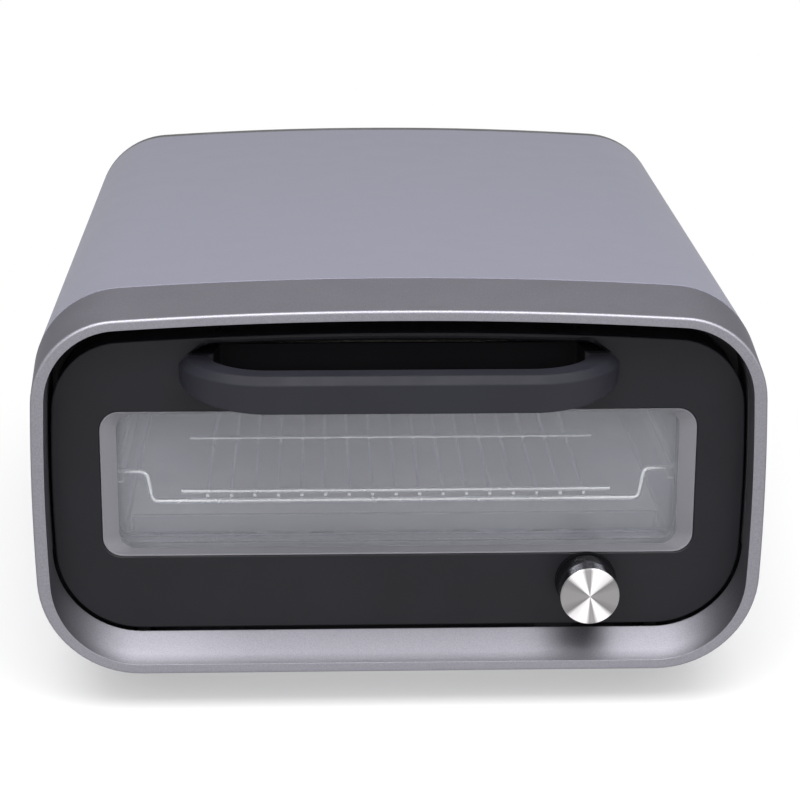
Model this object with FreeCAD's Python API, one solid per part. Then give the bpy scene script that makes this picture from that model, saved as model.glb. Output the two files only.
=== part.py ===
import FreeCAD, Part
import math
import os

from FreeCAD import Vector

# Bench-top electric pizza oven, millimetres.
# X is across the front, Y runs from the front to the back, Z is up and 0 on the table.
# Depths are measured from the front plane of the ring, and the saved pieces are moved
# so that the origin is under the middle of the whole oven.

# Body
shell_width = 450.0
shell_height = 238.6
shell_crown = 9.0
shell_bulge = 4.2
shell_top_radius = 57.5
shell_bottom_radius = 66.0
body_depth = 547.0
sheet = 1.0
foot_height = 22.0
foot_radius = 14.0
foot_bore_depth = 9.0
foot_inset_front = 88.0
foot_inset_rear = 62.0
foot_edge = 12.0
base_pan_inset = 16.0

# Front ring
ring_depth = 61.0
ring_taper = 4.2
ring_edge = 1.8
ring_wall = 2.5
ring_face = 3.2
ring_return = 2.2
rim_side = 7.8
rim_top = 6.2
rim_bottom = 5.2
ledge_depth = 21.0
ledge_rise = 14.1
ring_boss_radius = 2.9
ring_boss_inset = 5.9
ring_boss_length = 22.0
ring_boss_spread = 70.0
seam_gap = 0.8

# Door
door_recess = 20.0
door_depth = 36.0
door_side_gap = 2.2
door_top_gap = 12.6
door_bottom_gap = 3.4
door_wall = 2.5
door_edge = 1.0
window_side = 43.7
window_height = 93.3
window_lift = 46.8
window_radius = 12.0
bezel_side = 9.6
bezel_bottom = 2.6
bezel_top = 4.0
bezel_depth = 8.0
bezel_wall = 1.6
cable_inset = 128.6
bezel_flange = 5.0
outer_glass_thickness = 3.0
inner_glass_thickness = 4.0
glass_margin = 9.0
glass_gap = 10.0
inner_frame_wall = 1.5
door_fill_inset = 31.3

# Handle
handle_width = 266.0
handle_reach = 47.0
handle_section_depth = 17.5
handle_section_height = 22.6
handle_chamfer = 4.5
handle_low_chamfer = 1.2
handle_corner_radius = 56.0
handle_rise = 7.0
handle_top_lift = 174.5
recess_corner_inset = 17.2
recess_end_inset = 4.8
recess_top_lift = 187.0
recess_lip = 2.4
recess_step = 0.6
recess_root_gap = 1.5
recess_height = 35.0
recess_depth = 15.0
recess_draft = 3.0
recess_wall = 1.5
recess_flange = 5.0
handle_screw_radius = 2.5

# Knob
knob_inset = 109.5
knob_lift = 28.8
knob_radius = 18.0
knob_cap_thickness = 1.4
knob_length = 26.0
knob_travel = 1.0
knob_collar_radius = 18.9
knob_collar_height = 2.0
knob_gap = 0.5
shaft_radius = 3.0
shaft_fit = 0.05

# Hinge
hinge_depth = 19.5
hinge_lift = 11.0
hinge_inset = 66.6
hinge_arm_thickness = 8.0
hinge_pin_radius = 2.0
hinge_fit = 0.05
hinge_eye_radius = 3.6
hinge_side_gap = 0.6
hinge_ear_thickness = 2.0
hinge_neck = 4.6
hinge_neck_lift = 6.4
hinge_post_depth = 31.5
hinge_post_front = 1.6
hinge_post_rear = 3.6
hinge_bracket_height = 18.0

# Cavity
cavity_side_room = 41.0
cavity_floor_lift = 34.0
cavity_top_lift = 176.0
cavity_depth = 372.0
cavity_radius = 9.0
cavity_sill_lift = 66.0
frame_sheet = 1.5
gasket_width = 7.0
gasket_gap = 0.4

# Stone and elements
stone_side_gap = 14.0
stone_depth = 330.0
stone_thickness = 12.0
stone_top_lift = 70.0
stone_setback = 32.0
stone_corner = 6.0
tray_lip = 14.0
tray_sheet = 1.5
element_radius = 3.25
element_side_gap = 76.0
element_runs = 4
element_setback = 40.0
element_length = 290.0
element_tail = 14.0
bracket_front_inset = 80.0
bracket_rear_inset = 70.0
bracket_sheet = 1.2
lower_element_gap = 5.0
upper_element_drop = 14.0
probe_inset = 44.0
probe_lift = 140.0

# Rack
rack_front_gap = 15.0
rack_depth = 318.0
rack_rod_radius = 2.0
rack_wire_radius = 1.4
rack_top_rod_radius = 1.6
rack_low_lift = 86.0
rack_step = 20.0
rack_low_inset = 35.0
rack_bend = 6.0
rack_side_gap = 8.0
rack_wire_count = 17
rack_wire_margin = 29.8
rail_width = 13.0
rail_height = 16.0
rail_sheet = 1.5
rail_gap = 0.3

# Insulation, heat shield and rear bay
insulation_thickness = 16.0
shield_sheet = 0.8
shield_foot_lift = 40.0
bay_sheet = 1.2
bay_gap = 5.0
bay_side_gap = 36.0
bay_foot_inset = 17.0
fan_radius = 34.0
fan_depth = 30.0
fan_blades = 14
fan_shaft_radius = 2.5
duct_top_lift = 186.0
fan_inset = 129.0
board_width = 150.0
board_height = 92.0
board_thickness = 1.6
board_inset = 155.0
rear_cover_depth = 14.0
rear_cover_wall = 2.0
rear_cover_lip = 8.0
rear_cover_round = 6.0
rear_screw_inset = 15.0
rear_screw_spread_inset = 115.0
rear_boss_radius = 4.0
rear_tab = 8.0
rear_screw_sink = 1.7
inlet_width = 47.0
inlet_height = 27.0
inlet_inset = 75.0
inlet_lift = 42.0
inlet_flange = 2.0
screw_radius = 1.5
screw_head_radius = 3.0
screw_head_height = 1.4
thread_fit = 0.03
weld_gap = 0.05
contact_gap = 0.3

# Widths that follow from the shell's
half_width = shell_width / 2.0
base_half_width = half_width - shell_bottom_radius - base_pan_inset
foot_x = base_half_width - foot_edge
window_width = shell_width - 2.0 * window_side
cable_x = half_width - cable_inset
recess_width = handle_width - 2.0 * recess_corner_inset
recess_end_half_width = handle_width / 2.0 - recess_end_inset
knob_offset = half_width - knob_inset
hinge_offset = half_width - hinge_inset
cavity_width = shell_width - 2.0 * cavity_side_room
stone_width = cavity_width - 2.0 * stone_side_gap
element_bend = (cavity_width / 2.0 - element_side_gap) / (element_runs - 1)
probe_x = cavity_width / 2.0 - probe_inset
rack_half_width = cavity_width / 2.0 - rack_side_gap
rack_low_half_width = cavity_width / 2.0 - rack_low_inset
rack_wire_pitch = 2.0 * (rack_low_half_width - rack_wire_margin) / (rack_wire_count - 1)
fan_offset = fan_inset - half_width
board_offset = half_width - board_inset
rear_screw_spread = half_width - rear_screw_spread_inset
inlet_offset = half_width - inlet_inset
bay_half_width = cavity_width / 2.0 - bay_side_gap
bay_foot_half_width = base_half_width - bay_foot_inset

# Places that follow from the sizes above
front_base = foot_height + ring_taper
door_front = door_recess
door_rear = door_recess + door_depth
frame_front = door_rear + 2.0
frame_rear = frame_front + frame_sheet
cavity_front = frame_rear
cavity_rear = cavity_front + cavity_depth
handle_front = door_recess - handle_reach
origin_shift = -(body_depth + inlet_flange + handle_front) / 2.0
shell_front = ring_depth + seam_gap
shell_rear = body_depth - rear_cover_depth
door_base = front_base + rim_bottom + ledge_rise + door_bottom_gap
door_inset_side = ring_taper + rim_side + door_side_gap
door_inset_top = ring_taper + rim_top + door_top_gap
door_inset_bottom = door_base - foot_height
door_top = foot_height + shell_height - door_inset_top
window_base = door_base + window_lift
cavity_floor = front_base + cavity_floor_lift
cavity_top = front_base + cavity_top_lift
cavity_sill = front_base + cavity_sill_lift
stone_top = front_base + stone_top_lift
stone_base = stone_top - stone_thickness
stone_front = cavity_front + stone_setback
lower_element_z = stone_base - lower_element_gap - element_radius
upper_element_z = cavity_top - upper_element_drop
probe_z = front_base + probe_lift
knob_z = door_base + knob_lift
hinge_z = front_base + hinge_lift
rack_front = cavity_front + rack_front_gap
rack_low = front_base + rack_low_lift
rack_high = rack_low + rack_step

os.makedirs("parts", exist_ok=True)


def save(name, shape):
    """Write one named piece, moved so that the origin is under the middle of the oven."""
    moved = shape.copy()
    moved.translate(Vector(0, origin_shift, 0))
    moved.exportStep("parts/" + name + ".step")
    print(name, "volume", round(moved.Volume), "valid", moved.isValid(), "solids", len(moved.Solids))


def box(x0, x1, y0, y1, z0, z1):
    return Part.makeBox(x1 - x0, y1 - y0, z1 - z0, Vector(x0, y0, z0))


def rod(start, end, radius):
    way = end - start
    return Part.makeCylinder(radius, way.Length, start, way)


def group(pieces):
    """Several separate solids that share one node."""
    return Part.makeCompound(pieces)


def fuse(pieces):
    body = pieces[0]
    for piece in pieces[1:]:
        body = body.fuse(piece)
    return body.removeSplitter()


def cut(body, tools):
    for tool in tools:
        body = body.cut(tool)
    return body


def mirrored(shape):
    return shape.mirror(Vector(0, 0, 0), Vector(1, 0, 0))


def outline(depth, side, top=None, bottom=None):
    """The oven's front outline at one depth, pulled in from the shell by side, top and bottom."""
    top = side if top is None else top
    bottom = side if bottom is None else bottom
    half = shell_width / 2.0 - side
    low = foot_height + bottom
    high = foot_height + shell_height - top
    crown = shell_crown * (half / (shell_width / 2.0)) ** 2
    corner_x = half - shell_bulge
    shoulder = high - crown
    middle = (low + shoulder) / 2.0
    low_left = Vector(-corner_x, depth, low)
    low_right = Vector(corner_x, depth, low)
    top_right = Vector(corner_x, depth, shoulder)
    top_left = Vector(-corner_x, depth, shoulder)
    edges = [
        Part.LineSegment(low_left, low_right).toShape(),
        Part.Arc(low_right, Vector(half, depth, middle), top_right).toShape(),
        Part.Arc(top_right, Vector(0, depth, high), top_left).toShape(),
        Part.Arc(top_left, Vector(-half, depth, middle), low_left).toShape(),
    ]
    block = Part.Face(Part.Wire(edges)).extrude(Vector(0, 10, 0))
    for radius, pick_top in ((shell_bottom_radius - side, False), (shell_top_radius - side, True)):
        corners = []
        for edge in block.Edges:
            first, last = edge.Vertexes[0].Point, edge.Vertexes[-1].Point
            along_depth = abs(first.x - last.x) < 1e-6 and abs(first.z - last.z) < 1e-6
            is_sharp = abs(abs(first.x) - corner_x) < 1e-3
            if along_depth and is_sharp and (first.z > middle) == pick_top:
                corners.append(edge)
        block = block.makeFillet(radius, corners)
    for face in block.Faces:
        if abs(face.CenterOfMass.y - depth) < 1e-6:
            return face.OuterWire
    raise ValueError("outline has no front face")


def ruled(sections):
    return Part.makeLoft(sections, True, True)


def prism(wire, depth):
    return Part.Face(wire).extrude(Vector(0, depth, 0))


def rounded_wire(x0, x1, z0, z1, radius, depth):
    """Rounded rectangle in the plane at one depth."""
    k = radius * (1.0 - math.sqrt(0.5))
    sides = []
    corners = (
        (x1 - radius, z0, x1 - k, z0 + k, x1, z0 + radius),
        (x1, z1 - radius, x1 - k, z1 - k, x1 - radius, z1),
        (x0 + radius, z1, x0 + k, z1 - k, x0, z1 - radius),
        (x0, z0 + radius, x0 + k, z0 + k, x0 + radius, z0),
    )
    last = corners[-1]
    start = Vector(last[4], depth, last[5])
    for ax, az, mx, mz, bx, bz in corners:
        first = Vector(ax, depth, az)
        end = Vector(bx, depth, bz)
        sides.append(Part.LineSegment(start, first).toShape())
        sides.append(Part.Arc(first, Vector(mx, depth, mz), end).toShape())
        start = end
    return Part.Wire(sides)


def rounded_block(x0, x1, y0, y1, z0, z1, radius):
    return prism(rounded_wire(x0, x1, z0, z1, radius, y0), y1 - y0)


def bent_rod(points, radius, bend):
    """Round bar through the points: straight runs joined by elbows of one bend radius."""
    pieces = []
    previous = points[0]
    for i in range(1, len(points) - 1):
        corner = points[i]
        way_in = (corner - points[i - 1]).normalize()
        way_out = (points[i + 1] - corner).normalize()
        turn = way_in.getAngle(way_out)
        reach = bend * math.tan(turn / 2.0)
        entry = corner - way_in * reach
        leave = corner + way_out * reach
        if (entry - previous).Length > 1e-6:
            pieces.append(rod(previous, entry, radius))
        axis = way_in.cross(way_out).normalize()
        centre = entry + axis.cross(way_in) * bend
        section = Part.Face(Part.Wire([Part.makeCircle(radius, entry, way_in)]))
        pieces.append(section.revolve(centre, axis, math.degrees(turn)))
        previous = leave
    pieces.append(rod(previous, points[-1], radius))
    return fuse(pieces)


def screw(place, direction, length):
    """Pan-head screw, its head outside the place and its shank along the direction."""
    way = direction.normalize()
    head = Part.makeCylinder(screw_head_radius, screw_head_height, place - way * screw_head_height, way)
    shank = Part.makeCylinder(screw_radius, length, place, way)
    return head.fuse(shank)


# Front ring

def make_front_ring():
    def outer(depth, extra=0.0):
        return outline(depth, ring_taper * (1.0 - depth / ring_depth) + extra)

    body = ruled([outer(0, ring_edge), outer(ring_edge * 0.3, ring_edge * 0.35), outer(ring_edge), outer(ring_depth)])

    def throat(depth, raised, wall=0.0):
        return outline(
            depth,
            ring_taper + rim_side - wall,
            ring_taper + rim_top - wall,
            ring_taper + rim_bottom + raised - wall,
        )

    def throat_solid(front, wall):
        return ruled([throat(front, 0, wall), throat(1.0, 0, wall), throat(ledge_depth, ledge_rise, wall)])

    opening = throat_solid(-5.0, 0)
    behind = prism(throat(ledge_depth - 0.01, ledge_rise, 0), ring_depth)
    hollow = ruled([outer(ring_face, ring_wall), outer(ring_depth, ring_wall)])
    hollow = hollow.fuse(prism(outline(ring_depth, ring_wall), 5))
    wall_core = throat_solid(0.5, ring_return)
    body = body.cut(hollow.cut(wall_core))
    body = cut(body, [opening, behind])
    front = frame_front - ring_boss_length
    inside = ruled([outer(front, ring_wall - 0.4), outer(ring_depth, ring_wall - 0.4)])
    drill = []
    for x, z, out in ring_fixings():
        foot = Vector(x, front, z)
        boss = Part.makeCylinder(ring_boss_radius, ring_boss_length, foot, Vector(0, 1, 0))
        far = Vector(x, front, z) + out * 12.0
        web = box(
            min(x, far.x) - 1.2, max(x, far.x) + 1.2, front + 3.0, frame_front, min(z, far.z) - 1.2, max(z, far.z) + 1.2
        )
        body = body.fuse(boss.fuse(web).common(inside))
        drill.append(Part.makeCylinder(
            screw_radius + thread_fit, ring_boss_length, foot + Vector(0, 6.0, 0), Vector(0, 1, 0)
        ))
    return cut(body, drill)


def ring_fixings():
    """Place and outward direction of each boss that the face frame is screwed to."""
    top = foot_height + shell_height
    drop = shell_crown * (ring_boss_spread / (shell_width / 2.0)) ** 2
    side_z = (foot_height + top - shell_crown) / 2.0
    side_x = shell_width / 2.0 - ring_boss_inset
    places = []
    for side in (-1, 1):
        places.append((side * side_x, side_z, Vector(side, 0, 0)))
        places.append((side * ring_boss_spread, top - drop - ring_boss_inset, Vector(0, 0, 1)))
        places.append((side * ring_boss_spread, foot_height + ring_boss_inset, Vector(0, 0, -1)))
    return places


# Shell, base, feet and rear cover

def make_outer_shell():
    body = prism(outline(shell_front, 0), shell_rear - shell_front)
    inside = prism(outline(shell_front - 1, sheet), shell_rear - shell_front + 2)
    body = body.cut(inside)
    floor_cut = box(
        -base_half_width, base_half_width, shell_front - 1, shell_rear + 1, foot_height - 1, foot_height + sheet + 1
    )
    body = body.cut(floor_cut)
    for x, z, out in rear_screw_places():
        tab = rear_tab_box(x, z, out, 0.0).common(prism(outline(shell_front, sheet / 2.0), shell_rear - shell_front))
        hole = Part.makeCylinder(screw_radius + thread_fit, 10, Vector(x, shell_rear - 5, z), Vector(0, 1, 0))
        body = body.fuse(tab).cut(hole)
    return body


def rear_tab_box(x, z, out, grow):
    """Tab folded in from the shell's rear edge, which a cover screw goes into."""
    half = rear_tab / 2.0 + grow
    far = Vector(x, 0, z) + out * 30.0
    near = Vector(x, 0, z) - out * half
    reach_x = (min(far.x, near.x), max(far.x, near.x)) if out.x else (x - half, x + half)
    reach_z = (min(far.z, near.z), max(far.z, near.z)) if out.z else (z - half, z + half)
    return box(reach_x[0], reach_x[1], shell_rear - 1.2, shell_rear, reach_z[0], reach_z[1])


def slot(x, y, z, length, width, depth_vector):
    """Round-ended slot along X, cut through along the given vector."""
    half = length / 2.0 - width / 2.0
    bar = Part.makeBox(length - width, width, 1.0)
    bar.translate(Vector(-half, -width / 2.0, 0))
    ends = [Part.makeCylinder(width / 2.0, 1.0, Vector(side * half, 0, 0)) for side in (-1, 1)]
    shape = fuse([bar] + ends)
    base = [face for face in shape.Faces if abs(face.CenterOfMass.z) < 1e-6][0]
    if abs(depth_vector.y) > 0:
        base = base.copy()
        base.rotate(Vector(0, 0, 0), Vector(1, 0, 0), 90)
    solid = base.extrude(depth_vector)
    solid.translate(Vector(x, y, z))
    return solid


def foot_places():
    places = []
    for x in (-foot_x, foot_x):
        for y in (foot_inset_front, body_depth - foot_inset_rear):
            places.append((x, y))
    return places


def make_base_pan():
    gap = 0.2
    half = base_half_width - gap
    front = shell_front
    rear = shell_rear - contact_gap
    plate = box(-half, half, front, rear, foot_height, foot_height + sheet)
    lip = 12.0
    step_z = foot_height + sheet
    for side in (-1, 1):
        x_in = side * (half - 4.0)
        x_out = side * (base_half_width + lip - 4.0)
        strip = box(min(x_in, x_out), max(x_in, x_out), front, rear, step_z, step_z + sheet)
        plate = plate.fuse(strip)
    for y in (front + 1.0, rear - 9.0):
        plate = plate.fuse(box(-half, half, y, y + sheet, foot_height + sheet / 2.0, foot_height + 10.0))
    vents = []
    for column in (-1, 1):
        for i in range(8):
            vents.append(
                slot(
                    column * base_half_width / 2.0, body_depth - 190.0 + i * 11.0, foot_height - 1, 56.0, 4.0,
                    Vector(0, 0, 14),
                )
            )
    holes = [Part.makeCylinder(screw_radius + 0.2, 4, Vector(x, y, foot_height - 1)) for x, y in foot_places()]
    return cut(plate, vents + holes).removeSplitter()


def make_foot(x, y):
    top = foot_height
    profile = [
        Vector(0, 0, top),
        Vector(foot_radius, 0, top),
        Vector(foot_radius, 0, top - 4.0),
        Vector(foot_radius - 1.5, 0, 2.0),
        Vector(foot_radius - 3.0, 0, 0),
        Vector(screw_head_radius + 1.0, 0, 0),
        Vector(screw_head_radius + 1.0, 0, foot_bore_depth),
        Vector(screw_radius + 0.2, 0, foot_bore_depth),
        Vector(screw_radius + 0.2, 0, top),
    ]
    wire = Part.makePolygon(profile[1:] + [profile[1]])
    foot = Part.Face(wire).revolve(Vector(0, 0, 0), Vector(0, 0, 1), 360)
    foot.translate(Vector(x, y, 0))
    return foot


def make_foot_screws():
    length = foot_height - foot_bore_depth + sheet + 3.0
    return [screw(Vector(x, y, foot_bore_depth), Vector(0, 0, 1), length) for x, y in foot_places()]


def make_rear_cover():
    start = shell_rear
    body = ruled([
        outline(start, 0),
        outline(body_depth - rear_cover_round, 0),
        outline(body_depth - rear_cover_round * 0.3, rear_cover_round * 0.3),
        outline(body_depth, rear_cover_round),
    ])
    wall = rear_cover_wall
    inside = ruled([
        outline(start - 1, wall),
        outline(body_depth - rear_cover_round - 1.0, wall),
        outline(body_depth - wall, wall + rear_cover_round - 1.0),
    ])
    body = body.cut(inside)
    lip = ruled([outline(start - rear_cover_lip, sheet + 0.3), outline(start + 2.0, sheet + 0.3)])
    lip = lip.cut(ruled([outline(start - rear_cover_lip - 1, sheet + 0.3 + 1.5), outline(start + 3.0, sheet + 1.8)]))
    low = foot_height + 2.0 * rear_cover_lip
    lip = lip.cut(box(-shell_width, shell_width, start - 20, start - 0.01, 0, low))
    for x, z, out in rear_screw_places():
        reach = 2.5 * rear_tab
        lip = lip.cut(box(x - reach, x + reach, start - 20.0, start - 0.01, z - reach, z + reach))
        boss = Part.makeCylinder(rear_boss_radius, rear_cover_depth - 1.0, Vector(x, start, z), Vector(0, 1, 0))
        body = body.fuse(boss)
    body = body.fuse(lip)
    vents = []
    for i in range(9):
        vents.append(slot(fan_offset, body_depth - 10, fan_height() - 36.0 + i * 9.0, 96.0, 4.2, Vector(0, 20, 0)))
    for i in range(5):
        vents.append(slot(board_offset, body_depth - 10, front_base + 150.0 + i * 9.0, 120.0, 4.2, Vector(0, 20, 0)))
    vents.append(inlet_block(body_depth - 20, 40.0, 0.2))
    holes = []
    for x, z, out in rear_screw_places():
        holes.append(Part.makeCylinder(screw_radius + 0.2, 30, Vector(x, body_depth - 20, z), Vector(0, 1, 0)))
        seat = Vector(x, body_depth - rear_screw_sink, z)
        holes.append(Part.makeCylinder(screw_head_radius + 0.4, 20, seat, Vector(0, 1, 0)))
    return cut(body, vents + holes).removeSplitter()


def fan_height():
    return front_base + 108.0


def rear_screw_places():
    """Place and outward direction of each screw that holds the rear cover to the shell."""
    top = foot_height + shell_height
    drop = shell_crown * (rear_screw_spread / (shell_width / 2.0)) ** 2
    side_x = shell_width / 2.0 - rear_screw_inset
    side_z = (foot_height + top - shell_crown) / 2.0
    places = []
    for side in (-1, 1):
        places.append((side * side_x, side_z, Vector(side, 0, 0)))
        places.append((side * rear_screw_spread, top - drop - rear_screw_inset, Vector(0, 0, 1)))
    return places


def inlet_block(y0, depth, grow):
    """Body of the mains inlet: an upright rounded block with two cut lower corners."""
    w = inlet_width / 2.0 - 10.0 + grow
    h = inlet_height / 2.0 + grow
    z = front_base + inlet_lift
    x = inlet_offset
    points = [
        Vector(x - w, y0, z + h),
        Vector(x + w, y0, z + h),
        Vector(x + w, y0, z - h + 6.0),
        Vector(x + w - 6.0, y0, z - h),
        Vector(x - w + 6.0, y0, z - h),
        Vector(x - w, y0, z - h + 6.0),
    ]
    return Part.Face(Part.makePolygon(points + [points[0]])).extrude(Vector(0, depth, 0))


def make_mains_inlet():
    y_face = body_depth
    z = front_base + inlet_lift
    flange = rounded_block(
        inlet_offset - inlet_width / 2.0, inlet_offset + inlet_width / 2.0, y_face, y_face + inlet_flange,
        z - inlet_height / 2.0 - 1.5, z + inlet_height / 2.0 + 1.5, 4.0,
    )
    body = flange.fuse(inlet_block(y_face - 22.0, 22.5, 0.0))
    pocket = rounded_block(inlet_offset - 11.5, inlet_offset + 11.5, y_face - 16.0, y_face + 3.0, z - 8.0, z + 8.0, 2.5)
    body = body.cut(pocket)
    for dx, dz in ((-7.0, -2.5), (0.0, 2.5), (7.0, -2.5)):
        body = body.fuse(box(
            inlet_offset + dx - 1.0, inlet_offset + dx + 1.0, y_face - 17.0, y_face - 5.0, z + dz - 2.0, z + dz + 2.0
        ))
    for side in (-1, 1):
        x = inlet_offset + side * (inlet_width / 2.0 - 4.5)
        body = body.cut(Part.makeCylinder(screw_radius, 10, Vector(x, y_face - 4, z), Vector(0, 1, 0)))
    return body


# Cavity

def make_face_frame():
    body = prism(outline(frame_front, ring_wall + contact_gap), frame_sheet)
    hole = rounded_block(
        -cavity_width / 2.0, cavity_width / 2.0, frame_front - 1, frame_rear + 1, cavity_sill, cavity_top - 2.0,
        cavity_radius,
    )
    screws = []
    for x, z, out in ring_fixings():
        screws.append(Part.makeCylinder(screw_radius + 0.2, 10, Vector(x, frame_front - 4, z), Vector(0, 1, 0)))
    slots = []
    for i in range(9):
        slots.append(slot(-120.0 + 30.0 * i, frame_front - 1, cavity_top + 18.0, 22.0, 4.0, Vector(0, 5, 0)))
    return cut(body, [hole] + screws + slots)


def make_face_screws():
    return [screw(Vector(x, frame_rear, z), Vector(0, -1, 0), 14.0) for x, z, out in ring_fixings()]


def make_door_surround():
    """Black sheet channel round the top and sides of the door, from the ring to the face frame."""
    side = ring_taper + rim_side
    top = ring_taper + rim_top
    bottom = ring_taper + rim_bottom + ledge_rise
    y0 = ledge_depth
    depth = frame_front - y0
    outer = prism(outline(y0, side - sheet, top - sheet, bottom), depth)
    inner = prism(outline(y0 - 1, side, top, bottom), depth + 2)
    body = outer.cut(inner)
    return body.cut(box(-shell_width, shell_width, 0, y0 + depth + 1, 0, front_base + 74.0))


def make_gasket():
    y0 = door_rear + gasket_gap
    half = cavity_width / 2.0 + 3.0
    outer = rounded_block(
        -half - gasket_width, half + gasket_width, y0, frame_front, cavity_sill - 3.0 - gasket_width,
        cavity_top + 1.0 + gasket_width, cavity_radius + 3.0 + gasket_width,
    )
    inner = rounded_block(
        -half, half, y0 - 1, frame_front + 1, cavity_sill - 3.0, cavity_top + 1.0, cavity_radius + 3.0
    )
    return outer.cut(inner)


def make_cavity_liner():
    wall = sheet
    half = cavity_width / 2.0
    outer = rounded_block(
        -half - wall, half + wall, cavity_front, cavity_rear + wall, cavity_floor - wall, cavity_top + wall,
        cavity_radius + wall,
    )
    inner = rounded_block(-half, half, cavity_front - 1, cavity_rear, cavity_floor, cavity_top, cavity_radius)
    body = outer.cut(inner)
    flat = half - cavity_radius
    sill = box(-flat, flat, cavity_front, cavity_front + 8.0, cavity_sill - 1.2, cavity_sill)
    apron = box(-flat, flat, cavity_front, cavity_front + 1.2, cavity_floor - wall / 2.0, cavity_sill)
    body = fuse([body, apron, sill])
    ports = []
    for x, z in element_ports():
        ports.append(Part.makeCylinder(element_radius + 0.6, 20, Vector(x, cavity_rear - 5, z), Vector(0, 1, 0)))
    ports.append(Part.makeCylinder(2.2, 20, Vector(probe_x, cavity_rear - 5, probe_z), Vector(0, 1, 0)))
    return cut(body, ports)


def element_xs():
    first = -element_bend * (element_runs - 1)
    return [first + 2.0 * element_bend * i for i in range(element_runs)]


def element_ports():
    xs = element_xs()
    return [(xs[0], lower_element_z), (xs[-1], lower_element_z), (xs[0], upper_element_z), (xs[-1], upper_element_z)]


def make_element(z):
    """Tubular heater: parallel runs front to back, joined by half-round bends, both ends through the rear wall."""
    xs = element_xs()
    front_end = cavity_front + element_setback
    rear_end = front_end + element_length
    tail = cavity_rear + sheet + element_tail
    points = [Vector(xs[0], tail, z)]
    for i in range(len(xs) - 1):
        turn_y = front_end if i % 2 == 0 else rear_end
        points.append(Vector(xs[i], turn_y, z))
        points.append(Vector(xs[i + 1], turn_y, z))
    points.append(Vector(xs[-1], tail, z))
    return bent_rod(points, element_radius, element_bend)


def make_element_brackets():
    """Thin hangers and stands that hold the heaters off the cavity's roof and floor."""
    brackets = []
    span = element_xs()[-1] + 16.0
    front_end = cavity_front + element_setback
    rear_end = front_end + element_length
    for y in (front_end + bracket_front_inset, rear_end - bracket_rear_inset):
        low = box(-span, span, y, y + bracket_sheet, cavity_floor, lower_element_z + 1.0)
        high = box(-span, span, y, y + bracket_sheet, upper_element_z - 1.0, cavity_top)
        for x in element_xs():
            bore = Part.makeCylinder(element_radius + 0.05, 10, Vector(x, y - 4, lower_element_z), Vector(0, 1, 0))
            low = low.cut(bore)
            bore = Part.makeCylinder(element_radius + 0.05, 10, Vector(x, y - 4, upper_element_z), Vector(0, 1, 0))
            high = high.cut(bore)
        brackets.append(low)
        brackets.append(high)
    return group(brackets)


def make_stone():
    half = stone_width / 2.0
    wire_block = Part.makeBox(stone_width, stone_depth, stone_thickness, Vector(-half, stone_front, stone_base))
    upright = [e for e in wire_block.Edges if abs(e.Vertexes[0].Point.z - e.Vertexes[-1].Point.z) > 1]
    stone = wire_block.makeFillet(stone_corner, upright)
    top = [e for e in stone.Edges if e.BoundBox.ZMin > stone_top - 0.01]
    return stone.makeChamfer(0.8, top)


def make_stone_support():
    """Two folded side trays and a rear stop that carry the stone over the lower heater."""
    half = stone_width / 2.0
    pieces = []
    for side in (-1, 1):
        shelf = box(
            min(side * (half - tray_lip), side * (half + 4.0)), max(side * (half - tray_lip), side * (half + 4.0)),
            stone_front + 4.0, stone_front + stone_depth, stone_base - tray_sheet, stone_base,
        )
        leg_x = side * (half - tray_lip)
        leg = box(
            min(leg_x, leg_x + side * tray_sheet), max(leg_x, leg_x + side * tray_sheet),
            stone_front + 4.0, stone_front + stone_depth, cavity_floor, stone_base - tray_sheet / 2.0,
        )
        toe = box(
            min(leg_x, leg_x + side * tray_lip), max(leg_x, leg_x + side * tray_lip),
            stone_front + 4.0, stone_front + stone_depth, cavity_floor, cavity_floor + tray_sheet,
        )
        fence_x = side * (half + 2.5)
        fence = box(
            min(fence_x, fence_x + side * tray_sheet), max(fence_x, fence_x + side * tray_sheet),
            stone_front + 4.0, stone_front + stone_depth, stone_base - tray_sheet / 2.0, stone_base + 6.0,
        )
        pieces.append(fuse([shelf, leg, toe, fence]))
    return group(pieces)


def make_side_rail(side):
    """Folded rail that carries the rack's raised edge."""
    wall_x = side * (cavity_width / 2.0)
    inner_x = wall_x - side * rail_width
    top = rack_high - rack_rod_radius - rail_gap
    y0 = cavity_front + 4.0
    y1 = cavity_front + cavity_depth - 14.0
    shelf = box(min(wall_x, inner_x), max(wall_x, inner_x), y0, y1, top - rail_sheet, top)
    web_x = wall_x - side * rail_sheet
    web = box(min(wall_x, web_x), max(wall_x, web_x), y0, y1, top - rail_height, top)
    stop_z = rack_high + 4.0
    stop = box(min(wall_x, inner_x), max(wall_x, inner_x), y1 - rail_sheet, y1, top - rail_sheet, stop_z)
    return fuse([shelf, web, stop])


def make_insulation():
    half = cavity_width / 2.0 + sheet
    t = insulation_thickness
    outer = rounded_block(
        -half - t, half + t, cavity_front + 4.0, cavity_rear + sheet + t, cavity_floor - sheet - t, cavity_top + sheet + t,
        cavity_radius + sheet + t,
    )
    inner = rounded_block(
        -half, half, cavity_front, cavity_rear + sheet, cavity_floor - sheet, cavity_top + sheet, cavity_radius + sheet
    )
    body = outer.cut(inner)
    ports = []
    for x, z in element_ports():
        ports.append(Part.makeCylinder(element_radius + 3.0, 60, Vector(x, cavity_rear - 5, z), Vector(0, 1, 0)))
    ports.append(Part.makeCylinder(5.0, 60, Vector(probe_x, cavity_rear - 5, probe_z), Vector(0, 1, 0)))
    return cut(body, ports)


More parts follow.
